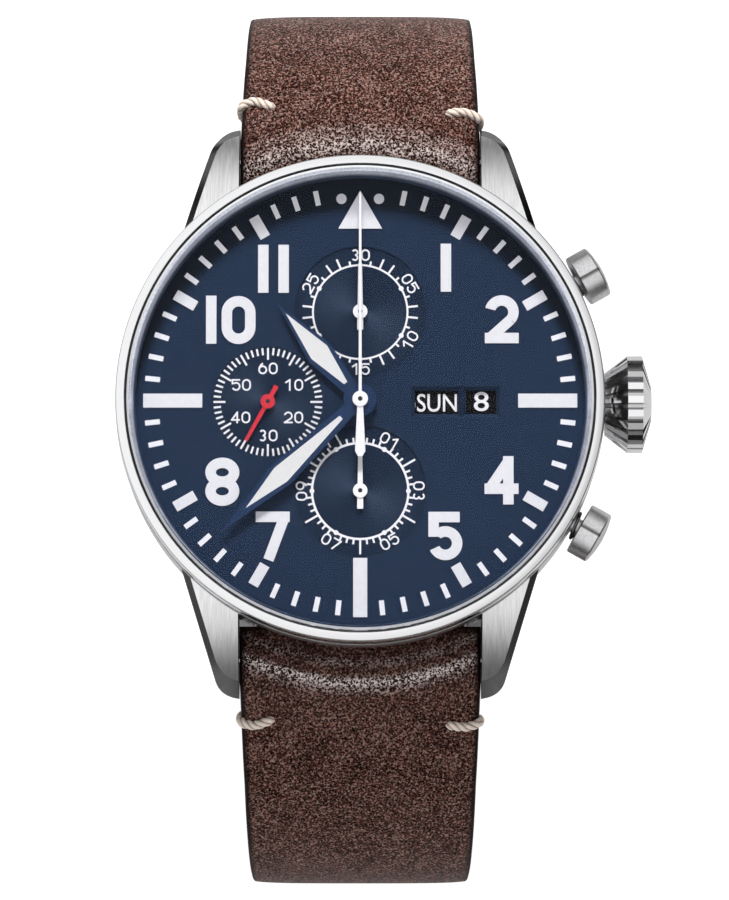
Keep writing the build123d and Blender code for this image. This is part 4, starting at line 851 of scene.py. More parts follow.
def lug_stations():
    """Six points for each point of the edge; the bevel widens over the rounded nose."""
    edge = lug_edge()
    along = unit(np.gradient(edge, axis=0))
    inward = np.stack([-along[:, 1], along[:, 0]], -1)
    inward *= np.sign(np.sum(inward * ([LUG_INNER, 18.0] - edge), axis=1))[:, None]
    nose = smooth_step(NOSE_FROM, NOSE_TO, edge[:, 1])
    bevel = BEVEL * np.clip((edge[:, 1] - 11.0) / 4.0, 0.4, 1.0) + NOSE_BEVEL * nose
    crease = edge + inward * bevel[:, None]
    crease[:, 0] = np.maximum(crease[:, 0], LUG_INNER)
    crease[:, 1] = np.minimum(np.maximum.accumulate(crease[:, 1]), CREASE_END)
    top = lug_top(crease[:, 1])
    rim = np.minimum(top, lug_top(edge[:, 1])) - DROP - NOSE_DROP * nose
    low = lug_low(edge[:, 1])
    inner = np.full(len(edge), LUG_INNER)
    inner_y = np.maximum(crease[:, 1], 16.2 + 0.1 * (edge[:, 1] - 12.4))
    off = LUG_INNER + 0.001
    columns = ((inner, inner_y, lug_low(crease[:, 1])), (inner, inner_y, lug_top(inner_y)),
               (np.maximum(crease[:, 0], off), crease[:, 1] + 0.001, top),
               (edge[:, 0], edge[:, 1], rim), (edge[:, 0], edge[:, 1], low + 0.35),
               (np.maximum(edge[:, 0] - 0.4, off), edge[:, 1], low))
    return np.stack([np.stack(column, -1) for column in columns], 1)


def lug(name, sx, sy):
    """One lug, mirrored into its corner by the signs; a mirrored one has its faces turned."""
    stations = lug_stations()
    n, six = stations.shape[:2]
    mirrored = sx * sy < 0
    faces = grid_faces(n, six, False, True, flip=not mirrored)
    start, end = list(range(six)), list(range((n - 1) * six, n * six))
    faces += [start[::-1], end] if mirrored else [start, end[::-1]]
    obj = build(name, raise_z(stations.reshape(-1, 3) * [sx, sy, 1.0]), faces, 22)
    bevel_edges(obj, 0.12, 25)
    dress(obj, (STEEL, POLISHED_PAINTED_SHADE, TIP_PAINTED_SHADE, SATIN), "head", ["case_middle"])
    # Columns 0 and 2, the inner face and the bevel, get painted shade; from TIP_ROW the tip's outer
    # face, and at 6 o'clock the bevel, get the tip's darker painted shade.
    numbers = np.tile([1, 0, 1, 3, 3, 3], (n - 1, 1))
    numbers[TIP_ROW:, 3] = 2
    if sy < 0:
        numbers[:, 2] = 2
    finish_faces(obj, np.append(numbers, [3, 3]))
    return obj


for side, sx in (("right", 1), ("left", -1)):
    for hour, sy in (("12", 1), ("6", -1)):
        print(lug(f"lug_{side}_{hour}", sx, sy).name)

# %% [markdown]
# ## Bezel, crystal and flange
#
# The bezel is a slim polished ring that holds the glass. Between the two lies a black gasket, the
# thin dark line round the dial. The crystal is slightly domed with a pale rim that is a painted
# highlight, and under it the flange leads down to the dial. All four are turned.

# %% Bezel, crystal and flange
BEZEL = [(21.12, 10.8), (21.90, 10.8), (22.0, 11.6), (21.98, 12.8), (21.90, 13.40),
         (21.40, 13.565), (21.17, 13.60), (21.12, 13.50)]
GASKET = [(20.95, 10.8), (21.11, 10.8), (21.11, 13.30), (20.95, 13.30)]
FLANGE_LINE = [(20.14, 10.2), (20.4, 10.2), (20.4, 10.84), (20.84, 10.84), (20.84, 12.38),
               (20.58, 12.38)]
DOME = [(0.0, 14.3), (8.0, 14.28), (15.0, 14.2), (19.6, 14.06)]
RIM = [(19.6, 14.06), (20.62, 13.98), (20.74, 13.86), (20.93, 13.60), (20.94, 12.4), (19.6, 12.4)]
HIGHLIGHT_FROM, HIGHLIGHT_LOW, HIGHLIGHT_HIGH = 20.70, 13.50, 13.95

dress(turned("bezel_ring", rounded(BEZEL, 0.10)), BEZEL_STEEL, "head", ["bezel"])
dress(turned("gasket_ring", rounded(GASKET, 0.03, 2)), RUBBER, "head",
      ["crystal_gasket"])
rim_line = rounded(RIM, 0.04, 2)[3:-3][::-1]
crystal_line = [(0.0, 12.4), (19.6, 12.4), *rim_line, *DOME[::-1]]
crystal = turned_solid("crystal_disc", crystal_line, 256, raise_z, 25)
dress(crystal, (CRYSTAL, RIM_HIGHLIGHT_GLASS), "head", ["crystal"])
x, y, z = (read(crystal.data.polygons, "center") / MM - [0, 0, LIFT]).T
# Faces of the rim that get the painted highlight.
lit_rim = (np.hypot(x, y) > HIGHLIGHT_FROM) & (z > HIGHLIGHT_LOW) & (z < HIGHLIGHT_HIGH)
finish_faces(crystal, lit_rim)
dress(turned("inner_flange", rounded(FLANGE_LINE, 0.05, 2)), FLANGE, "head",
      ["rehaut"])
print("ground faces on the crystal's rim:", lit_rim.sum())

# %% [markdown]
# ## Crown
#
# The crown is a double cone with flat ridges and steep valleys for the fingers. It is a grid
# whose radius depends on the angle, four points to a ridge. The valleys close towards the end, so
# each ridge leaves a small triangular facet there. The valleys have a rougher and darker copy of
# the crown's steel: the roughness is real, the darker colour is painted shade in the grooves.

# %% Crown
CROWN_X = (22.08, 24.08, 25.46, 26.30)
CROWN_R = (2.80, 4.38, 4.38, 1.55)
CROWN_CUT = (0.25, 0.62, 0.62, 0.0)
RIDGES = 22
BORE_R, BORE_END = 1.75, 24.3
RIDGE, VALLEY = (-0.25, 0.25), (0.38, 0.62)    # in steps from one ridge to the next


def crown_mesh():
    """r(angle, x) = R(x) - cut(x) v(angle), with v 0 on a ridge and 1 in a valley."""
    steps = np.arange(RIDGES)[:, None] + np.array(RIDGE + VALLEY)
    turn = steps.reshape(-1) * 2 * np.pi / RIDGES
    deep = np.tile([0, 0, 1, 1], RIDGES)[:, None]
    r = np.array(CROWN_R) - np.array(CROWN_CUT) * deep
    count, n = len(turn), len(CROWN_X)
    around = np.stack([np.cos(turn), np.sin(turn)], -1)
    outside = np.concatenate([around[:, None, :] * r[..., None],
                              np.broadcast_to(CROWN_X, r.shape)[..., None]], -1).reshape(-1, 3)
    bore = [np.column_stack([BORE_R * around, np.full(count, x)]) for x in (CROWN_X[0], BORE_END)]
    verts = np.vstack([outside, *bore, [0, 0, BORE_END], [0, 0, CROWN_X[-1]]])
    first, k = np.arange(count) * n, np.arange(count)
    mouth, end, centre = count * n + k, count * (n + 1) + k, count * (n + 2)
    faces = grid_faces(count, n, True, False) + band(first, mouth) + band(mouth, end)
    faces += fan(end, centre, flip=True) + fan(first + n - 1, centre + 1)
    return build("crown_knob", along_x(verts), faces, smooth=False)


crown = dress(crown_mesh(), (CROWN_STEEL, CROWN_VALLEY_SHADE), "crown", ["crown"])
x, y, z = (read(crown.data.polygons, "center") / MM).T
step = np.arctan2(y, CROWN_Z - z) * RIDGES / (2 * np.pi) % 1
valley = (x < CROWN_X[2]) & (step > 0.30) & (step < 0.70)
finish_faces(crown, valley)
print("crown:", RIDGES, "ridges,", valley.sum(), "valley faces")

# %% [markdown]
# ## Pushers
#
# Each pusher is a thin stem with a cap. The cap is hollow underneath, so that it can slide down
# over its tube and spring when it is pressed. Along the cap runs a painted reflection, stored on
# the
# vertices: a lit band and a dark stripe, the unlit side of the room as a curved mirror shows it.

# %% Pushers
PUSHER_LINE = [(0.0, 16.1), (0.75, 16.1), (0.75, 23.45), (1.5, 23.45), (1.5, 22.72), (2.28, 22.72),
               (2.4, 22.84), (2.4, 24.6), (2.33, 24.72), (2.15, 24.80), (1.6, 24.93), (0.9, 25.04),
               (0.0, 25.1)]
CAP_R, END_R = 2.4, 2.3
# Painted reflection across a cap: above 1 a painted highlight, near 0 the painted dark stripe.
PAINTED_REFLECTION_AT = (-1, -0.6, -0.14, -0.07, 0.0, 0.05, 1)
PAINTED_REFLECTION = (0.95, 1.3, 0.85, 0.2, 0.16, 0.95, 1.0)


def pusher_mesh(name, angle):
    """Turned along its own line; shade = PAINTED_REFLECTION by the place across the cap, -1 to 1.
    """
    obj = turned_solid(name, PUSHER_LINE, 128, lambda v: along_x(v, angle), 30)
    x, y, z = (read(obj.data.vertices) / MM).T
    c, s = math.cos(math.radians(angle)), math.sin(math.radians(angle))
    side = (y * c - x * s) / CAP_R * math.copysign(1, angle)
    shade = np.interp(side, PAINTED_REFLECTION_AT, PAINTED_REFLECTION)
    shade = np.where(np.hypot(side * CAP_R, z - CROWN_Z) < END_R, 0.95, shade)
    mark(obj, "shade", shade)
    return obj


for name, angle in (("pusher_top", 29.5), ("pusher_low", -29.5)):
    dress(pusher_mesh(name + "_cap", angle), PUSHER_STEEL, name, [name])
    print(name, "at", angle, "degrees")

# %% [markdown]
# ## Strap
#
# Each half follows a middle line seen from the side, given as (y, height, thickness). A smooth
# spline joins its points. The cross-section has a padded top, painted edges and a flat lining.
# It is wide and full between the lugs, and thin and narrow at the buckle. Cloth simulation would
# not help here: a padded leather strap is stiff and keeps its moulded curve.

# %% Strap line
PATH_12 = [(19.78, 43.35, 4.5), (22.8, 43.2, 4.6), (28.4, 41.3, 4.0), (33.6, 36.9, 3.2),
           (36.9, 31.2, 2.8), (37.6, 25.2, 2.6), (36.0, 17.8, 2.5), (31.2, 10.6, 2.4),
           (24.6, 6.2, 2.3), (17.6, 4.8, 2.2), (10.0, 4.8, 2.2), (1.0, 4.8, 2.2), (-7.4, 4.9, 2.3)]
PATH_6 = [(-19.78, 43.35, 4.5), (-22.8, 43.2, 4.6), (-29.2, 41.0, 4.0), (-35.4, 36.2, 3.2),
          (-39.6, 29.6, 2.8), (-40.9, 22.4, 2.6), (-39.6, 15.2, 2.5), (-35.2, 9.6, 2.4),
          (-28.2, 6.6, 2.3), (-21.0, 5.2, 2.2), (-16.8, 4.35, 2.1), (-12.6, 3.05, 2.1),
          (-8.6, 2.42, 2.0), (-4.0, 2.4, 2.0), (5.0, 2.4, 2.0), (14.0, 2.4, 2.0),
          (18.6, 2.55, 2.0), (23.0, 3.35, 2.0), (27.6, 5.25, 1.9)]
LUG_LEVEL = 38.0        # above this height the strap is between or beside the lugs


def spline(points, count):
    """Natural cubic through the points, by chord length, resampled at even steps."""
    p = np.asarray(points, float)
    chords = np.linalg.norm(np.diff(p[:, :2], axis=0), axis=1)
    t = np.concatenate([[0], np.cumsum(chords)])
    n = len(t)
    h = np.diff(t)
    a, b = np.zeros((n, n)), np.zeros((n, p.shape[1]))
    a[0, 0] = a[-1, -1] = 1
    for i in range(1, n - 1):
        a[i, i - 1:i + 2] = h[i - 1], 2 * (h[i - 1] + h[i]), h[i]
        b[i] = 6 * ((p[i + 1] - p[i]) / h[i] - (p[i] - p[i - 1]) / h[i - 1])
    m = np.linalg.solve(a, b)
    s = np.linspace(0, t[-1], count)
    i = np.clip(np.searchsorted(t, s) - 1, 0, n - 2)
    u, w, hi = (t[i + 1] - s)[:, None], (s - t[i])[:, None], h[i][:, None]
    out = (m[i] * u ** 3 + m[i + 1] * w ** 3) / (6 * hi) + (p[i] / hi - m[i] * hi / 6) * u \
        + (p[i + 1] / hi - m[i + 1] * hi / 6) * w
    out[:, 2] = np.interp(s, t, p[:, 2])
    return out, s


def strap_frame(path, count, outward):
    """Middle line, its unit tangent, its normal to the side that shows, and the arc length."""
    mid, s = spline(path, count)
    tangent = unit(np.gradient(mid[:, :2], axis=0))
    normal = np.stack([-tangent[:, 1], tangent[:, 0]], -1) * outward
    return mid, tangent, normal, s


def strap_half_width(y, z):
    """Taper by height, and a little fuller where the strap fills the gap between the lugs."""
    taper = np.interp(z, [22.0, 38.0, 42.0], [10.05, 10.60, 10.86])
    return taper + 0.11 * np.clip((27.5 - np.abs(y)) / 3, 0, 1) * (np.asarray(z) > LUG_LEVEL)


def padding(thick):
    """How full the padding is: 0 where the strap is 2.3 mm thick, 1 from 4.3 mm."""
    return np.clip((thick - 2.3) / 2.0, 0, 1)


print("strap lengths", [round(spline(path, 100)[1][-1], 1) for path in (PATH_12, PATH_6)], "mm")

# %% [markdown]
# ### Where the strap gets gloss and a painted highlight
#
# The padded top ends in a crest, where the leather turns down to the case along a circle. Along
# that crest the leather is a little glossier, and its light specks carry a painted highlight. At
# 6 o'clock the strap stands a little further off, the painted highlight is stronger, and a second
# thin line of it lies nearer to the case.

# %% Crest, gloss and painted highlight
CREST = 24.1
CREST_12 = (23.15, 23.75, 24.5, 25.1, 25.7, 26.6)       # rises, dims, ends: distances in pairs
CREST_6 = (24.35, 24.95, 25.05, 25.5, 25.6, 26.3)


def crest_drop(far):
    """0.42 d^1.5 / (1 + d / 4), with d the depth inside the crest's circle."""
    inside = np.clip(CREST - far, 0, 4)
    return 0.42 * inside ** 1.5 / (1 + 0.25 * inside)


def crest_line(far, steps, dim):
    """Up over the first pair of distances, down by dim over the next, to nothing over the last."""
    rise, fade, end = (smooth_step(*steps[k:k + 2], far) for k in (0, 2, 4))
    return rise * (1 - dim * fade) * (1 - end)


def crest_gloss_and_highlight(y, far):
    """Painted highlight and gloss: crest lines by distance from the case centre; at 6 a thin bell
    curve is added inside.
    """
    at_12 = crest_line(far, CREST_12, 0.62)
    at_6 = crest_line(far, CREST_6, 0.72) + 0.28 * np.exp(-((far - 23.2) / 0.3) ** 2)
    return np.where(y > 0, 0.66 * at_12, 1.6 * at_6)


print("highlight_and_gloss at 24 mm from the centre:", round(float(crest_gloss_and_highlight(1, 24.0)), 2))

# %% [markdown]
# ### The strap's section
#
# A section is a closed ring of 80 points: the padded top, the bulging painted edge, the lining and
# the other edge. The high powers of a keep the middle flat and let the shoulders fall away.

# %% Strap section
INSET = 0.22            # how far the painted edge bulges
EDGE_FROM = 0.985       # share of the half width from which the top is edge paint
PAD_FALL, EDGE_FALL, LOW_RISE = 0.95, 0.10, 0.25
RING = [(kind, q) for kind, steps in (
    ("top", np.linspace(-1, 1, 45)), ("right", np.linspace(0, 1, 9)[1:-1]),
    ("low", np.linspace(1, -1, 21)), ("left", np.linspace(0, 1, 9)[1:-1])) for q in steps]


def section_line(kind, q, half, thick):
    """Across x and height v of one line along the strap, with a = |x| / half.

    Top: v = t/2 - pad 0.95 a^4 - 0.10 a^12. Lining: v = -t/2 + pad 0.25 a^6. The edge joins the
    two by half a turn phi: v by cos phi, and x bulges by 0.22 sin(phi)^0.7.
    """
    flat, pad = kind in ("top", "low"), padding(thick)
    x = (q if flat else 1) * (half - INSET)
    a = np.abs(x) / half
    above = thick / 2 - pad * PAD_FALL * a ** 4 - EDGE_FALL * a ** 12
    below = -thick / 2 + pad * LOW_RISE * a ** 6
    if flat:
        return x, above if kind == "top" else below
    phi = q * np.pi if kind == "right" else np.pi - q * np.pi
    side = 1 if kind == "right" else -1
    x = side * (half - INSET + INSET * math.sin(phi) ** 0.7)
    return x, (above + below) / 2 + (above - below) / 2 * math.cos(phi)


print("a section has", len(RING), "points")

# %% [markdown]
# ### The two halves
#
# Carried along the line, the section makes a tube. Its last sections shrink, so that the ends are
# round, as they are where leather is folded over. The columns of the lining get its own finish,
# and every point keeps two marks: how much edge paint it has, and how much gloss and painted
# highlight it gets at the crest.

# %% Strap halves
HIGHLIGHT_ABOVE = 41.5       # only leather higher than this gets the gloss and the painted highlight
END_ROWS = 8            # sections that shrink at each end
END_SIZE = 0.35         # how small the last one is


def strap_mesh(name, path, outward, count):
    """Point = middle line + x across + (v - crest drop) along the normal, closed at both ends."""
    mid, _, normal, s = strap_frame(path, count, outward)
    half, n = strap_half_width(mid[:, 0], mid[:, 1]), len(RING)
    verts, edge = np.zeros((count, n, 3)), np.zeros((count, n))
    for k, (kind, q) in enumerate(RING):
        x, v = section_line(kind, q, half, mid[:, 2])
        if kind != "low":
            drop = crest_drop(np.hypot(x, mid[:, 0])) * (mid[:, 1] > LUG_LEVEL)
            v = v - drop * (1.0 if kind == "top" else 0.5)
        verts[:, k] = np.stack([x, *(mid[:, :2] + normal * v[:, None]).T], -1)
        paint = np.clip((np.abs(q) - EDGE_FROM) / (1 - EDGE_FROM), 0, 1)
        edge[:, k] = paint if kind in ("top", "low") else 1
    centre = verts.mean(axis=1)
    for first, direction in ((0, 1), (count - 1, -1)):
        for step in range(END_ROWS):
            row = first + direction * step
            far = min(1.0, s[step] + 0.12)
            full = END_SIZE + (1 - END_SIZE) * math.sqrt(max(0.0, 1 - (1 - far) ** 2))
            core = verts[row].copy()
            core[:, 1:] = centre[row, 1:]
            verts[row] = core + (verts[row] - core) * full
            edge[row] = np.maximum(edge[row], 1.0 - far)
    faces = grid_faces(count, n, False, True, flip=outward > 0)
    start, end = list(range(n)), list(range((count - 1) * n, count * n))
    faces += [start, end[::-1]] if outward > 0 else [start[::-1], end]
    flat = verts.reshape(-1, 3)
    obj = build(name, flat, faces, 60)
    mark(obj, "edge", edge)
    far = np.hypot(flat[:, 0], flat[:, 1])
    # The gloss and the painted highlight along the crest, only above HIGHLIGHT_ABOVE.
    mark(obj, "gloss_and_painted_highlight", crest_gloss_and_highlight(flat[:, 1], far) * (flat[:, 2] > HIGHLIGHT_ABOVE))
    return obj


def lining_faces(count):
    """1 for the faces between two columns of the lining, 0 for the rest and both ends."""
    low = np.array([kind == "low" for kind, _ in RING])
    return np.append(np.tile(low & np.roll(low, -1), count - 1), [0, 0])


for hours, path, outward, count, node_name in ((12, PATH_12, 1, 300, "strap_buckle_half"),
                                               (6, PATH_6, -1, 420, "strap_hole_half")):
    strap = strap_mesh(f"strap_{hours}_leather", path, outward, count)
    dress(strap, (LEATHER_TOP, LEATHER_LINING), "head", [node_name])
    finish_faces(strap, lining_faces(count))
    print(strap.name, len(strap.data.polygons), "faces")

# %% [markdown]
# ## Edge stitches
#
# Four thick threads hold the strap's ends together. Each comes out of the leather, runs to the
# edge, bends round it and goes back in underneath. It is a tube whose radius has three lobes, one
# for each strand, and the lobes turn as the path goes on. Three separate strands would be truer,
# but at this size only the grooves between them show.

# %% Stitch path
REACH, HUG = 2.95, 0.10     # the hole's distance from the edge, and how far the thread sinks in


def stitch_path(path, start_y, outward, side, drift):
    """Middle line of a thread: across the top, round the edge and back below.

    drift holds (progress, mm away from the case), with progress 0 at the hole on top, 1 at the
    edge and 2 underneath. The slide w along the strap makes y = start_y + drift everywhere:
    w = (y - mid - v normal) / tangent.
    """
    mid, tangents, normals, _ = strap_frame(path, 400, outward)
    level = mid[:80, 0] + normals[:80, 0] * mid[:80, 2] / 2
    k = int(np.argmin(np.abs(level - start_y)))
    tangent, up, t = tangents[k] * np.sign(tangents[k, 0]), normals[k], mid[k, 2]
    half = float(strap_half_width(mid[k, 0], mid[k, 1]))
    q = np.linspace(0, 1, 48)
    x = half - HUG - REACH * (1 - q)
    lift = 0.30 * np.sin(np.minimum(1.0, q * 4) * np.pi / 2) - 0.18
    top = np.stack([q, x, t / 2 - padding(t) * PAD_FALL * (x / half) ** 4 + lift], -1)
    q = np.linspace(0, 1, 30)[1:]
    bend = np.stack([1 + q, half - HUG + 0.14 * np.sin(q * np.pi),
                     top[-1, 2] * np.cos(q * np.pi)], -1)
    q = np.linspace(0, 1, 20)[1:]
    sunk = 0.18 - 0.30 * np.sin(np.minimum(1.0, (1 - q) * 4) * np.pi / 2)
    below = np.stack([np.full(19, 2.0), half - HUG - REACH * q, -t / 2 + sunk], -1)
    progress, x, v = np.vstack([top, bend, below]).T
    y = start_y + math.copysign(1, start_y) * np.interp(progress, *zip(*drift))
    w = (y - mid[k, 0] - v * up[0]) / tangent[0]
    out = np.stack([side * x, y, mid[k, 1] + v * up[1] + w * tangent[1]], -1)
    for _ in range(14):
        out[1:-1] = (out[:-2] + 2 * out[1:-1] + out[2:]) / 4
    return out


print("a thread's line has", len(stitch_path(PATH_12, 27.5, 1, 1, ((0, 0), (2, 0)))), "points")

# %% [markdown]
# The tube follows the line with a frame that never rolls, so only the strands twist. Hand-sewn
# stitches are never alike: each of the four has its own place and its own slant.

# %% Stitches
THREAD_R, PITCH, STRANDS = 0.43, 2.2, 3
STITCHES = (
    ("stitch_12_left", PATH_12, 27.85, 1, -1,
     ((0, 0), (0.35, 0.40), (0.62, 0.72), (0.9, 0.5), (1.2, 0.1), (2, -0.5))),
    ("stitch_12_right", PATH_12, 27.25, 1, 1,
     ((0, 0), (0.3, 0.15), (0.6, 0.18), (0.9, -0.15), (1.2, -0.5), (2, -0.8))),
    ("stitch_6_left", PATH_6, -28.15, -1, -1,
     ((0, 0), (0.3, 0.35), (0.6, 0.62), (0.9, 0.45), (1.2, 0.1), (2, -0.6))),
    ("stitch_6_right", PATH_6, -28.65, -1, 1,
     ((0, 0), (0.3, 0.18), (0.6, 0.24), (0.9, 0.0), (1.2, -0.3), (2, -0.8))))


def level_frames(tangents):
    """A side direction that is carried along the path and never rolls round it."""
    up = unit(np.cross(tangents[0], [0, 1, 0.3]))
    ups = []
    for tangent in tangents:
        up = unit(up - tangent * np.dot(up, tangent))
        ups.append(up)
    return np.array(ups)


def twisted(name, path, around=36, steps=240):
    """r = R (0.66 + 0.34 |cos(strands/2 (angle - 2 pi s / pitch))|^0.6), thin at both ends."""
    seg = np.concatenate([[0], np.cumsum(np.linalg.norm(np.diff(path, axis=0), axis=1))])
    s = np.linspace(0, seg[-1], steps)
    p = np.stack([np.interp(s, seg, path[:, i]) for i in range(3)], -1)
    tangents = unit(np.gradient(p, axis=0))
    up = level_frames(tangents)
    side = np.cross(tangents, up)
    phi = np.linspace(0, 2 * np.pi, around, endpoint=False)
    lobe = np.abs(np.cos(STRANDS / 2 * (phi - 2 * np.pi * s[:, None] / PITCH)))
    taper = np.minimum(1.0, 0.45 + np.minimum(s, s[-1] - s) / 0.7)
    r = (THREAD_R * taper[:, None] * (0.66 + 0.34 * lobe ** 0.6))[..., None]
    c, sn = np.cos(phi)[None, :, None], np.sin(phi)[None, :, None]
    tube = p[:, None] + r * (c * up[:, None] + sn * side[:, None])
    verts = np.vstack([tube.reshape(-1, 3), p[0], p[-1]])
    first, tip = np.arange(around), steps * around
    faces = grid_faces(steps, around, False, True, flip=True) + fan(first, tip)
    faces += fan(first + tip - around, tip + 1, flip=True)
    obj = build(name, verts, faces, 70)
    # groove is 1 on a strand's crest and 0 in the gap: painted highlight and painted shade in the
    # thread's colour.
    mark(obj, "groove", np.append(lobe, [0.5, 0.5]))
    u = phi / (2 * np.pi) - s[:, None] / PITCH
    uv = np.stack([u, np.broadcast_to(s[:, None] / 3.0, u.shape)], -1).reshape(-1, 2)
    uv = np.vstack([uv, [[0, 0], [0, 0]]])
    corner = np.zeros(len(obj.data.loops), int)
    obj.data.loops.foreach_get("vertex_index", corner)
    obj.data.uv_layers.new(name="thread").data.foreach_set("uv", uv[corner].reshape(-1))
    return obj


for name, path, start_y, outward, side, drift in STITCHES:
    thread = twisted(name, stitch_path(path, start_y, outward, side, drift))
    dress(thread, THREAD, "head", ["edge_stitches"])
    print(name, len(thread.data.polygons), "faces")

# %% [markdown]
# ## Calendar lettering
#
# The two discs carry plain figures and short day names, made from the built-in letter shapes and
# turned into one flat mesh for each disc. Each word is turned so that it stands upright when it
# reaches its window at 3 o'clock. SQUEEZE widens single figures and narrows pairs and names.

# %% Lettering
SQUEEZE = {1: 1.22, 2: 0.82, 3: 0.85}      # by the number of characters
CAPITAL = 0.70                             # height of a capital in a size of 1
DISC_TOP = LIFT + 9.515


def word_mesh(text, height):
    """Flat mesh of one word, to be removed after use."""
    curve = bpy.data.curves.new("tmp", "FONT")
    curve.body = text
    curve.align_x, curve.align_y = "CENTER", "CENTER"
    curve.size, curve.offset = height / CAPITAL, 0.010 * height
    curve.resolution_u = 4
    holder = bpy.data.objects.new("tmp", curve)
    mesh = bpy.data.meshes.new_from_object(holder)
    bpy.data.objects.remove(holder)
    bpy.data.curves.remove(curve)
    return mesh


def letters(name, words, centre, radius, start, height, body):
    """Words spread evenly clockwise round a disc; word number start is at 3 o'clock."""
    verts, faces = [], []
    for k, text in enumerate(words):
        turn = -2 * math.pi * (k - start) / len(words)
        c, s = math.cos(turn), math.sin(turn)
        mesh = word_mesh(text, height)
        co = read(mesh.vertices)
        co = (co - (co.max(axis=0) + co.min(axis=0)) / 2) * [SQUEEZE[len(text)], 1, 1]
        faces += [tuple(len(verts) + v for v in f.vertices) for f in mesh.polygons]
        verts += np.stack([centre[0] + radius * c + co[:, 0] * c - co[:, 1] * s,
                           centre[1] + radius * s + co[:, 0] * s + co[:, 1] * c,
                           np.full(len(co), DISC_TOP)], -1).tolist()
        bpy.data.meshes.remove(mesh)
    obj = build(name, verts, faces, smooth=False)
    if read(obj.data.polygons, "normal")[:, 2].mean() < 0:
        obj.data.flip_normals()
    return dress(obj, PRINT, body)


letters("date_figures", [str(k + 1) for k in range(31)], (0, 0), 10.9, 7, 1.72, "date")
letters("day_names", ("SUN", "MON", "TUE", "WED", "THU", "FRI", "SAT"), (1.93, -0.12), 4.98, 0,
        1.60, "day")
print("31 dates and 7 days")

# %% [markdown]
# ## Chronograph seconds hand
#
# The hand that runs from the middle is a ring on its axle with a long thin needle and, on the
# other side, a counterweight that widens towards its end. It is stamped from thin sheet, so both
# arms are plain prisms with a small bevel.

# %% Seconds hand
HAND_LEVEL, PLATE_THICK, HUB_THICK = LIFT + 11.65, 0.16, 0.30
HUB_RADIUS, HUB_BORE, JOINT_Y = 0.70, 0.21, 0.45
COUNTERWEIGHT = ((0.26, -JOINT_Y), (0.47, -4.70), (0.20, -5.2))
NEEDLE = ((0.145, JOINT_Y), (0.11, 18.7))


def plate(sides):
    """Prism of a half outline and its mirror image: points of the two faces, and the faces."""
    line = list(sides) + [(-x, y) for x, y in reversed(sides)]
    area = sum(a[0] * b[1] - b[0] * a[1] for a, b in zip(line, line[1:] + line[:1]))
    line = line if area > 0 else line[::-1]
    n = len(line)
    verts = [(x, y, HAND_LEVEL + z) for z in (0, PLATE_THICK) for x, y in line]
    low, high = np.arange(n), np.arange(n, 2 * n)
    walls = np.stack([low, np.roll(low, -1), np.roll(high, -1), high], -1).tolist()
    return verts, [low[::-1], high, *walls]


def seconds_hand(count=48):
    """Hub ring, then the two plates, joined into one mesh."""
    hub = np.array([(HUB_BORE, 0), (HUB_RADIUS, 0), (HUB_RADIUS, HUB_THICK), (HUB_BORE, HUB_THICK)])
    verts = spin_points(hub + [0, HAND_LEVEL], count).reshape(-1, 3).tolist()
    faces = grid_faces(count, len(hub), True, True)
    for sides in (COUNTERWEIGHT, NEEDLE):
        more_verts, more_faces = plate(sides)
        faces += [[len(verts) + v for v in f] for f in more_faces]
        verts += more_verts
    return build("seconds_hand", verts, faces, smooth=False)


hand = dress(seconds_hand(), WHITE_HAND, "chrono_seconds", ["chrono_seconds_hand"])
bevel_edges(hand, 0.035, 30)
print("seconds hand:", len(hand.data.polygons), "faces before its bevel")

# %% [markdown]
# ## Finishes of the pieces that keep their CAD mesh
#
# Dial, hands, markers, wheels, bridges and buckle already have their right shape. They only get a
# finish, and where an edge shows, a fine bevel as a modifier, which leaves the mesh itself alone.

# %% CAD finishes
FINISHES = (
    (SATIN, "case_back buckle_frame"),
    (POLISHED, "buckle_tongue"),
    (POLISHED_PAINTED_SHADE, "crown_tube pusher_tubes pusher_springs"),
    (CRYSTAL, "back_glass"),
    (SPRING, "winding_stem escape_wheel pallet_fork hairspring cannon_pinion lug_spring_bars "
             "buckle_spring_bar"),
    (NICKEL, "setting_lever mainplate movement_ring"),
    (WAVES, "train_bridge balance_cock automatic_bridge rotor"),
    (BRASS, "centre_wheel third_wheel balance_wheel barrel minute_wheel hour_wheel"),
    (WHEELS["small_seconds"], "fourth_wheel"),
    (WHEELS["seconds"], "chrono_seconds_wheel"),
    (WHEELS["minutes"], "minute_counter_wheel"),
    (WHEELS["hours"], "hour_counter_wheel"),
    (RUBY, "bridge_jewels"),
    (BLUED, "bridge_screws"),
    (DIAL, "dial"),
    (LUME, "hour_markers dial_numerals"),
    (PRINT, "dial_print"),
    (HAND_LUME, "hour_hand_lume minute_hand_lume"),
    (BLACK_DISC, "date_disc day_disc"),
    (BLUE_HAND, "hour_hand minute_hand"),
    (WHITE_HAND, "minute_counter_hand hour_counter_hand"),
    (RED_HAND, "small_seconds_hand"),
    (LEATHER_TOP, "fixed_keeper loose_keeper"))
FINE_EDGES = "hour_hand minute_hand minute_counter_hand hour_counter_hand small_seconds_hand"
SOFT_EDGES = "buckle_frame buckle_tongue fixed_keeper loose_keeper case_back"

for finish, names in FINISHES:
    for name in names.split():
        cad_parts[name].data.materials.clear()
        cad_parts[name].data.materials.append(finish)
for name in FINE_EDGES.split():
    bevel_edges(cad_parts[name], 0.035, 30)
for name in SOFT_EDGES.split():
    bevel_edges(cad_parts[name], 0.25, 35, 3, False)
print("CAD nodes with a finish:", sum(len(names.split()) for _, names in FINISHES))

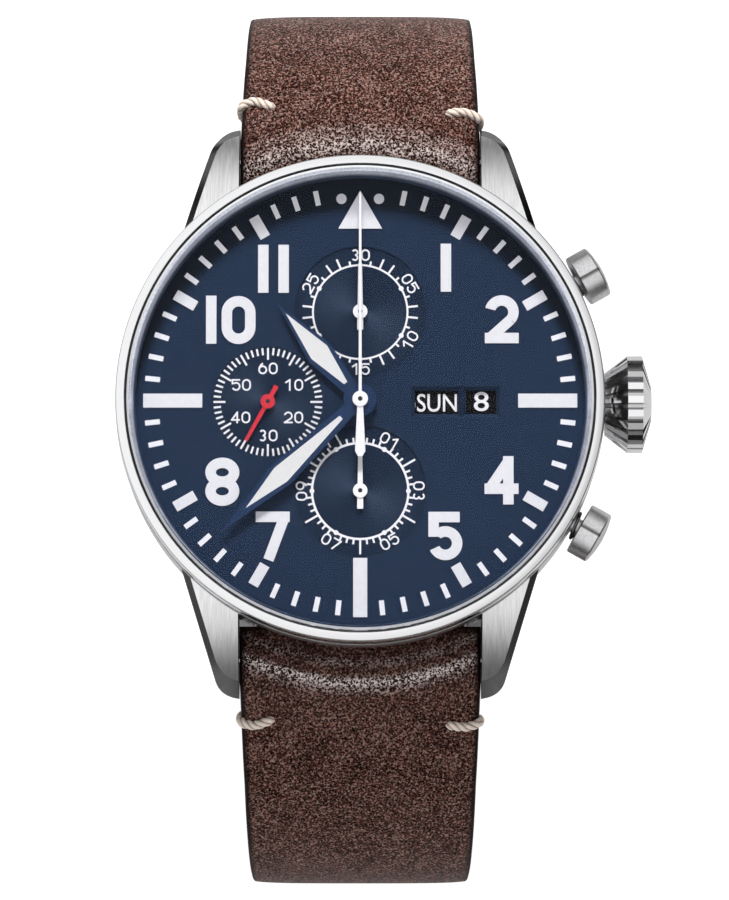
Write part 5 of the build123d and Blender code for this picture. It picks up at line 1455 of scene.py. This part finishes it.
# %% [markdown]
# ## Floor and world
#
# The photograph has a white ground. The floor and the world are white to the camera and to
# what looks through glass, by Light Path, while metal sees them at a lower strength and the
# lighting itself stays plain. Part of the floor's white is its own, so a shadow stays on it.

# %% Floor and world
FLOOR_HALF, FLOOR_Z = 900, -0.02


def background_rays(tree, camera, mirrored):
    """max(camera x seen or looked through, mirrored x glossy): strength by kind of ray."""
    path = tree.nodes.new("ShaderNodeLightPath").outputs
    seen = calc(tree, "MAXIMUM", path["Is Camera Ray"], path["Is Transmission Ray"])
    glossy = calc(tree, "MULTIPLY", path["Is Glossy Ray"], mirrored)
    return calc(tree, "MAXIMUM", calc(tree, "MULTIPLY", seen, camera), glossy)


def white_floor():
    """White paper: 0.42 of it is its own colour, the rest light that only looking rays see."""
    m, t, bsdf = material("floor_white", (0.42, 0.42, 0.42), 0.0, 0.9, Specular_IOR_Level=0.1,
                          Emission_Color=(1, 1, 1, 1))
    feed(t, bsdf, Emission_Strength=background_rays(t, 0.86, 0.22))
    return m


square = [(x * FLOOR_HALF, y * FLOOR_HALF, FLOOR_Z)
          for x, y in ((-1, -1), (1, -1), (1, 1), (-1, 1))]
floor = build("floor", square, [(0, 1, 2, 3)], smooth=False)
floor.data.materials.append(white_floor())

world = bpy.data.worlds.new("studio")
bpy.context.scene.world = world
world.use_nodes = True
sky = world.node_tree.nodes["Background"]
sky.inputs["Color"].default_value = (1, 1, 1, 1)
strength = calc(world.node_tree, "ADD", background_rays(world.node_tree, 0.65, 0.65), 0.35)
feed(world.node_tree, sky, Strength=strength)
print("floor", 2 * FLOOR_HALF, "mm wide")

# %% [markdown]
# ## Tent
#
# Polished steel shows the room. Product photographers put a tent of paper over a watch, bright
# overhead and dark at the sides, and that gives a bezel its long soft gradients. This dome is
# seen by reflections only. Its brightness falls with height, and a little more to the right.

# %% Tent
TENT_STEPS = ((0.0, 0.01), (0.38, 0.012), (0.50, 0.17), (0.60, 0.48), (0.74, 0.78), (0.96, 0.90))
LEAN_Y, LEAN_X = 0.13, -0.28


def tent_material():
    """glow = steps of (z + 0.13 y - 0.28 x), over the unit direction from the watch."""
    m = bpy.data.materials.new("tent_paper")
    m.use_nodes = True
    t = m.node_tree
    t.nodes.clear()
    direction = vector(t, "NORMALIZE", place_in(t)).outputs[0]
    xyz = node(t, "ShaderNodeSeparateXYZ", in_0=direction).outputs
    lean = calc(t, "MULTIPLY_ADD", xyz["Y"], LEAN_Y, xyz["Z"])
    lean = calc(t, "MULTIPLY_ADD", xyz["X"], LEAN_X, lean)
    level = ramp(t, lean, [(at, (value,) * 3) for at, value in TENT_STEPS])
    glow = node(t, "ShaderNodeEmission", in_Color=level, in_Strength=1.25)
    node(t, "ShaderNodeOutputMaterial", in_Surface=glow.outputs[0])
    return m


def tent(radius=170.0, rows=24, cols=48):
    """Half sphere, open at the floor: radius x (cos e cos a, cos e sin a, sin e)."""
    e = np.radians(np.linspace(0, 88, rows))[:, None]
    a = np.linspace(0, 2 * np.pi, cols, endpoint=False)
    x, y = radius * np.cos(e) * np.cos(a), radius * np.cos(e) * np.sin(a)
    z = np.broadcast_to(radius * np.sin(e), x.shape)
    verts = np.vstack([np.stack([x, y, z], -1).reshape(-1, 3), [0, 0, radius]])
    faces = grid_faces(rows, cols, False, True)
    faces += fan(np.arange((rows - 1) * cols, rows * cols), rows * cols)
    obj = build("tent", verts, faces, 80)
    obj.data.materials.append(tent_material())
    obj.visible_camera = obj.visible_diffuse = False
    obj.visible_shadow = obj.visible_transmission = False
    return obj


print("tent:", len(tent().data.polygons), "faces")

# %% [markdown]
# ## Lamps
#
# A soft lamp beyond 12 o'clock gives the light its direction, and a larger, weaker one from
# 6 o'clock opens the shadows. Neither is mirrored, as the tent already stands for them in metal.

# %% Lamps
LAMPS = (("key_12", (0.0, 0.58, 0.59), (0.22, 0.12), 6.1),
         ("fill_6", (0.0, -0.62, 0.50), (0.8, 0.35), 1.7))


def panel(name, place, size, power):
    """Rectangular soft lamp, in metres and watts, aimed at the watch."""
    lamp = bpy.data.lights.new(name, "AREA")
    lamp.shape = "RECTANGLE"
    lamp.size, lamp.size_y = size
    lamp.energy = power
    obj = bpy.data.objects.new(name, lamp)
    bpy.context.scene.collection.objects.link(obj)
    obj.location = place
    way = Vector((0, 0, 0.05)) - Vector(place)
    obj.rotation_euler = way.to_track_quat("-Z", "Y").to_euler()
    obj.visible_glossy = False
    return obj


for lamp in LAMPS:
    print(panel(*lamp).name, lamp[3], "W")

# %% [markdown]
# ## Camera
#
# The photograph looks almost straight down on the dial and leans six degrees towards 6 o'clock.
# One millimetre at the dial's height spans 11.12 of the picture's 900 rows. The camera stands
# 0.6 m away, where perspective is slight, and its lens follows from that scale.

# %% Camera
TILT, DISTANCE = math.radians(6.0), 0.6
ROWS, ROWS_PER_MM = 900, 11.12
SENSOR = 24.0
RIGHT, DOWN = 0.387, 4.47       # the picture's centre from the dial's centre, in millimetres

hub = np.array([0, 0, (LIFT + 10.7) * MM])
away = np.array([0, -math.sin(TILT), math.cos(TILT)])
up = np.array([0, math.cos(TILT), math.sin(TILT)])
target = hub + np.array([1, 0, 0]) * RIGHT * MM - up * DOWN * MM
cam_data = bpy.data.cameras.new("photo_camera")
cam_data.sensor_fit = "VERTICAL"
cam_data.sensor_height = SENSOR
cam_data.lens = SENSOR * DISTANCE / (ROWS / ROWS_PER_MM * MM)
cam_data.clip_start = 0.01
cam = bpy.data.objects.new("photo_camera", cam_data)
scene = bpy.context.scene
scene.collection.objects.link(cam)
cam.location = target + away * DISTANCE
cam.rotation_euler = (TILT, 0, 0)
scene.camera = cam
scene.view_settings.view_transform = "Standard"
print("lens", round(cam_data.lens, 1))
